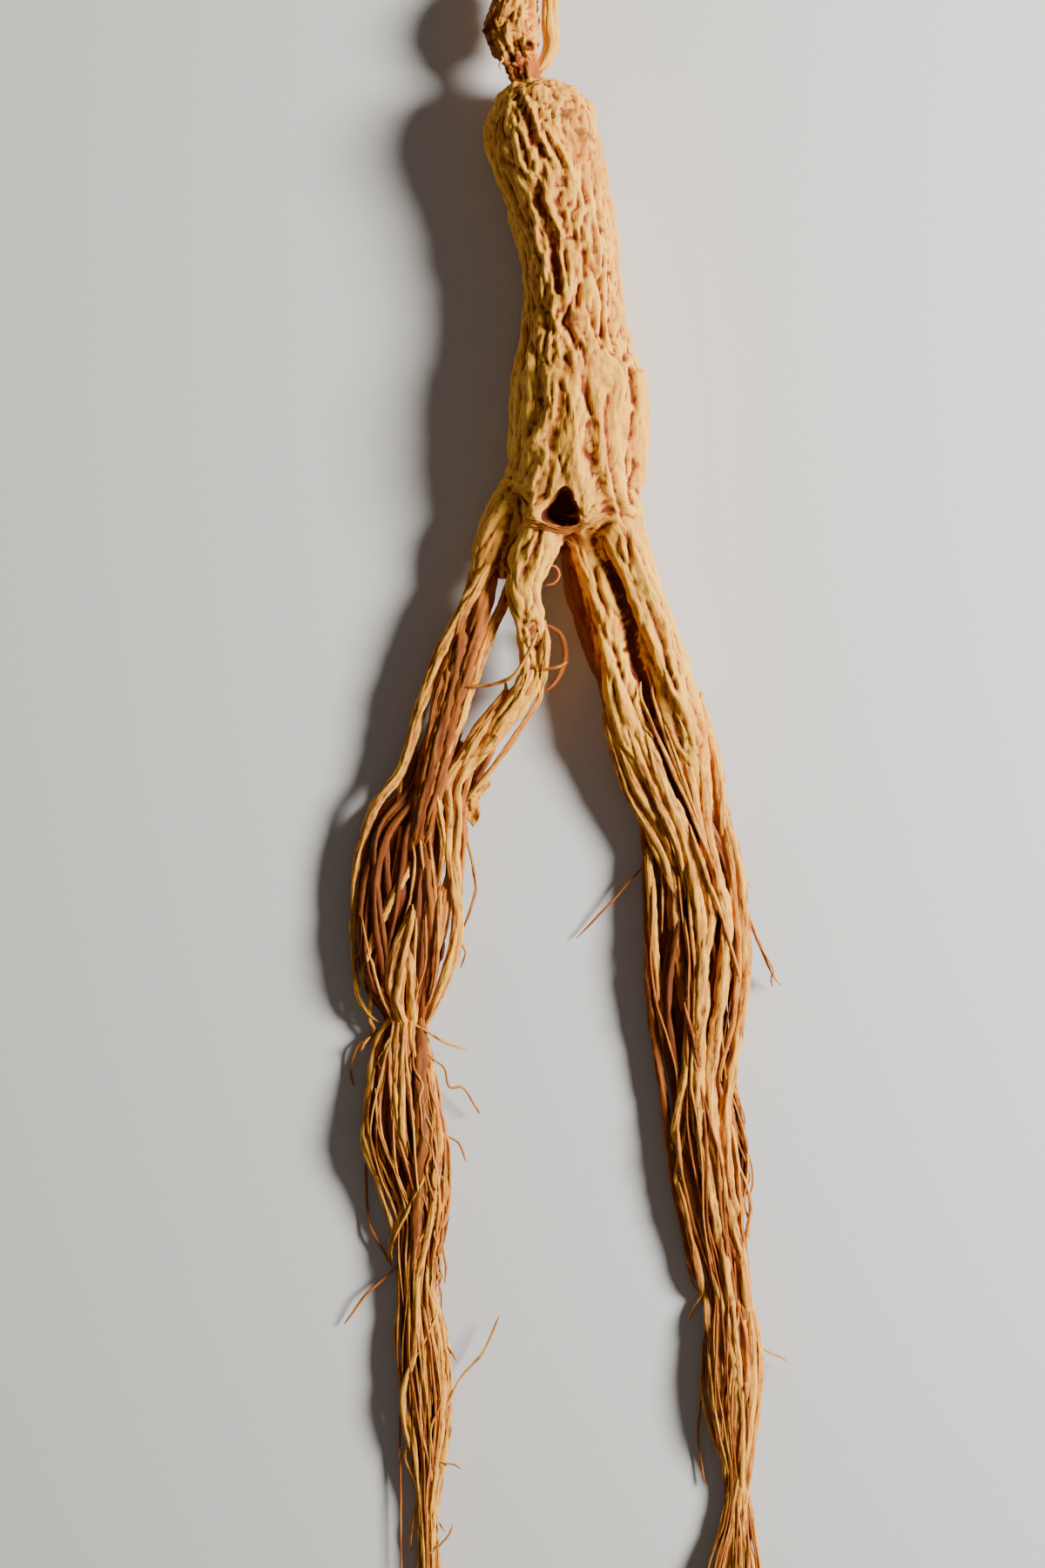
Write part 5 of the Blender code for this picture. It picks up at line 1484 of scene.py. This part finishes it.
class GINSENG_OT_left_rootlets(bpy.types.Operator):
    """Models the left leg of rootlets and the single strong rootlets above it"""

    bl_idname = "ginseng.left_rootlets"
    bl_label = "Left rootlets"

    def execute(self, context):
        deselect_all()
        sizes = context.scene.root_sizes
        step = sizes.rootlet_step / MM
        bundle = leg(LEFT_LEG, LEFT_ROOTLETS, sizes.seed + 30, sizes, 1, 1)
        limb = smooth_route(SPLIT_LIMB, 4.0)
        for lane, top, radius, brown in SPLIT_ROOTLETS:
            arch = 0.8 * math.sqrt(1 - lane ** 2)
            rows = [(x + 0.9 * lane * r, y, z + arch * r, radius) for x, y, z, r in limb if y < top]
            bundle.add(rows, brown, step, STRONG_SIDES, dive=1.6)
        tangle(bundle, LEFT_LEG, *TANGLE)
        for radii, brown, pixels in SINGLE_ROOTLETS:
            shares = np.linspace(0, 1, len(radii))
            rows = []
            for px, py, height in pixels:
                share = (py - pixels[0][1]) / (pixels[-1][1] - pixels[0][1])
                radius = np.interp(share, shares, radii)
                rows.append((*from_photo((px, py), height), height, radius))
            bundle.add(rows, brown, 0.8 * step, STRONG_SIDES, kink=0.1, dive=1.0)
        bundle.finish("left_rootlets")
        return {"FINISHED"}


class GINSENG_OT_right_rootlets(bpy.types.Operator):
    """Models the right leg of rootlets"""

    bl_idname = "ginseng.right_rootlets"
    bl_label = "Right rootlets"

    def execute(self, context):
        deselect_all()
        sizes = context.scene.root_sizes
        leg(RIGHT_LEG, RIGHT_ROOTLETS, sizes.seed + 40, sizes, 0, 2).finish("right_rootlets")
        return {"FINISHED"}


class GINSENG_OT_stray_rootlets(bpy.types.Operator):
    """Models the thin rootlets that stray from the bundles"""

    bl_idname = "ginseng.stray_rootlets"
    bl_label = "Stray rootlets"

    def execute(self, context):
        deselect_all()
        bundle = Bundle(context.scene.root_sizes.seed + 50)
        for brown, rows in STRAYS:
            bundle.add(rows, brown, STRAY_STEP, STRAY_SIDES, kink=0.16)
        bundle.finish("stray_rootlets")
        return {"FINISHED"}


def surface_height(piece, x, y):
    """Height in mm of a piece's top at that place."""
    hit, place, _, _ = piece.ray_cast(Vector((x, y, 50.0)) * MM, Vector((0, 0, -1)))
    if not hit:
        raise RuntimeError(f"no surface under {x:.1f}, {y:.1f}")
    return place.z / MM


class GINSENG_OT_torn_skin(bpy.types.Operator):
    """Models the skin left across the hollow, and the papery flap"""

    bl_idname = "ginseng.torn_skin"
    bl_label = "Torn skin"

    def execute(self, context):
        deselect_all()
        bundle = Bundle(context.scene.root_sizes.seed + 60)
        root = bpy.data.objects["main_root"]
        for line in SKIN_STRIP:
            places = []
            for pixel in line:
                x, y = from_photo(pixel, STRIP_SEEN_AT)
                inside = rim_distance(np.array([pixel], dtype=float), PIT_RIM)[0] > -1.0
                height = STRIP_HEIGHT if inside else surface_height(root, x, y) + STRIP_RISE
                places.append((x, y, max(height, STRIP_LEAST_HEIGHT)))
            for shift, radius in STRIP_FIBRES:
                fibre = [(x, y + shift, z + shift, radius) for x, y, z in places]
                bundle.add(fibre, 0.85, FIBRE_STEP, FIBRE_SIDES, flat=0.7, rough=1.2, kink=0.38)
        add_flap(bundle)
        bundle.finish("torn_skin")
        return {"FINISHED"}


def add_flap(bundle):
    """A thin crumpled sheet inside the flap's ragged edge, closed round its rim."""
    edge = [from_photo(pixel, FLAP_HEIGHT) for pixel in FLAP_EDGE]
    middle = np.mean(edge, axis=0)
    rim = smooth_route([(*place, 0.0, 0.0) for place in edge + edge[:1]], 0.3)[:-1, :2]
    rim = middle + (rim - middle) * (1 + 0.22 * flat_noise(rim, 0.9, 0.0, 6)[:, None])
    points = []
    for thick in (FLAP_HALF_THICKNESS, -FLAP_HALF_THICKNESS):
        for share in np.arange(1, FLAP_RINGS + 1) / FLAP_RINGS:
            flat = middle + (rim - middle) * share
            z = (FLAP_HEIGHT + 0.8 * flat_noise(flat, 1.6, 0.0, 3)
                 + 0.4 * flat_noise(flat * 2.3, 1.6, 0.0, 4) + thick * (1 - 0.8 * share ** 4))
            points.append(np.column_stack([flat, z]))
    count = len(rim)
    half = FLAP_RINGS * count
    outer = half - count
    top = [tuple(reversed(range(count)))]
    faces = []
    for j in range(count):
        i = (j + 1) % count
        top += [(a + j, a + i, a + count + i, a + count + j) for a in range(0, outer, count)]
        faces.append((outer + j, outer + i, outer + half + i, outer + half + j))
    faces += top + [tuple(half + k for k in reversed(face)) for face in top]
    points = np.vstack(points)
    hollow = np.clip(0.35 + 0.5 * flat_noise(points[:, :2], 1.2, 0.0, 5), 0, 1)
    bundle.add_shell(points, faces, np.full(len(points), 0.42), hollow, points[:, [0, 2, 1]])


class GINSENG_OT_stage(bpy.types.Operator):
    """Adds the floor, the lights and the camera straight above"""

    bl_idname = "ginseng.stage"
    bl_label = "Stage"

    def execute(self, context):
        stage = context.scene.stage_settings
        deselect_all()
        bpy.ops.mesh.primitive_plane_add(size=stage.floor_size)
        floor = context.object
        floor.name = "floor"
        floor.data.materials.append(painted_board("painted_board", stage.floor_colour))
        self.add_light("key_light", *KEY_LIGHT, stage.key_power, stage.key_colour)
        self.add_light("fill_light", *FILL_LIGHT, stage.fill_power, stage.fill_colour)
        world = bpy.data.worlds.new("room")
        world.use_nodes = True
        background = world.node_tree.nodes["Background"]
        background.inputs["Color"].default_value = stage.room_colour
        background.inputs["Strength"].default_value = stage.room_strength
        context.scene.world = world

        deselect_all()
        x, y = from_photo(PHOTO_MIDDLE, PHOTO_LEVEL)
        above = Vector((x, y, PHOTO_LEVEL + CAMERA_RISE)) * MM
        bpy.ops.object.camera_add(location=above, rotation=(0.0, 0.0, 0.0))
        camera = context.object
        camera.name = "camera"
        camera.data.lens = CAMERA_LENS
        camera.data.sensor_width = CAMERA_SENSOR
        camera.data.clip_start = CAMERA_NEAR
        context.scene.camera = camera
        return {"FINISHED"}

    def add_light(self, name, offset, size, power, hue):
        deselect_all()
        aim = Vector(LIGHT_AIM)
        place = aim + Vector(offset)
        turn = (aim - place).to_track_quat("-Z", "Y").to_euler()
        bpy.ops.object.light_add(type="AREA", location=place, rotation=turn)
        light = bpy.context.object
        light.name = name
        light.data.shape = "DISK"
        light.data.size = size
        light.data.energy = power
        light.data.color = hue[:3]


class GINSENG_PT_panel(bpy.types.Panel):
    """Settings of the root and the stage"""

    bl_idname = "GINSENG_PT_panel"
    bl_label = "Ginseng Root"
    bl_space_type = "VIEW_3D"
    bl_region_type = "UI"
    bl_category = "Ginseng"

    def draw(self, context):
        for settings in ("root_sizes", "root_colours", "stage_settings"):
            group = getattr(context.scene, settings)
            box = self.layout.box()
            for name in group.__annotations__:
                box.prop(group, name)
        for operator in OPERATORS:
            self.layout.operator(operator.bl_idname)


SETTINGS = {"root_sizes": RootSizes, "root_colours": RootColours, "stage_settings": StageSettings}
OPERATORS = (
    GINSENG_OT_main_root,
    GINSENG_OT_neck,
    GINSENG_OT_left_rootlets,
    GINSENG_OT_right_rootlets,
    GINSENG_OT_stray_rootlets,
    GINSENG_OT_torn_skin,
    GINSENG_OT_stage,
)


def register():
    for settings in SETTINGS.values():
        bpy.utils.register_class(settings)
    for name, settings in SETTINGS.items():
        setattr(bpy.types.Scene, name, PointerProperty(type=settings))
    for operator in OPERATORS:
        bpy.utils.register_class(operator)
    bpy.utils.register_class(GINSENG_PT_panel)


def unregister():
    bpy.utils.unregister_class(GINSENG_PT_panel)
    for operator in reversed(OPERATORS):
        bpy.utils.unregister_class(operator)
    for name, settings in SETTINGS.items():
        delattr(bpy.types.Scene, name)
        bpy.utils.unregister_class(settings)


def main():
    register()
    bpy.ops.ginseng.main_root()
    bpy.ops.ginseng.neck()
    bpy.ops.ginseng.left_rootlets()
    bpy.ops.ginseng.right_rootlets()
    bpy.ops.ginseng.stray_rootlets()
    bpy.ops.ginseng.torn_skin()
    bpy.ops.ginseng.stage()


if __name__ == "__main__":
    main()
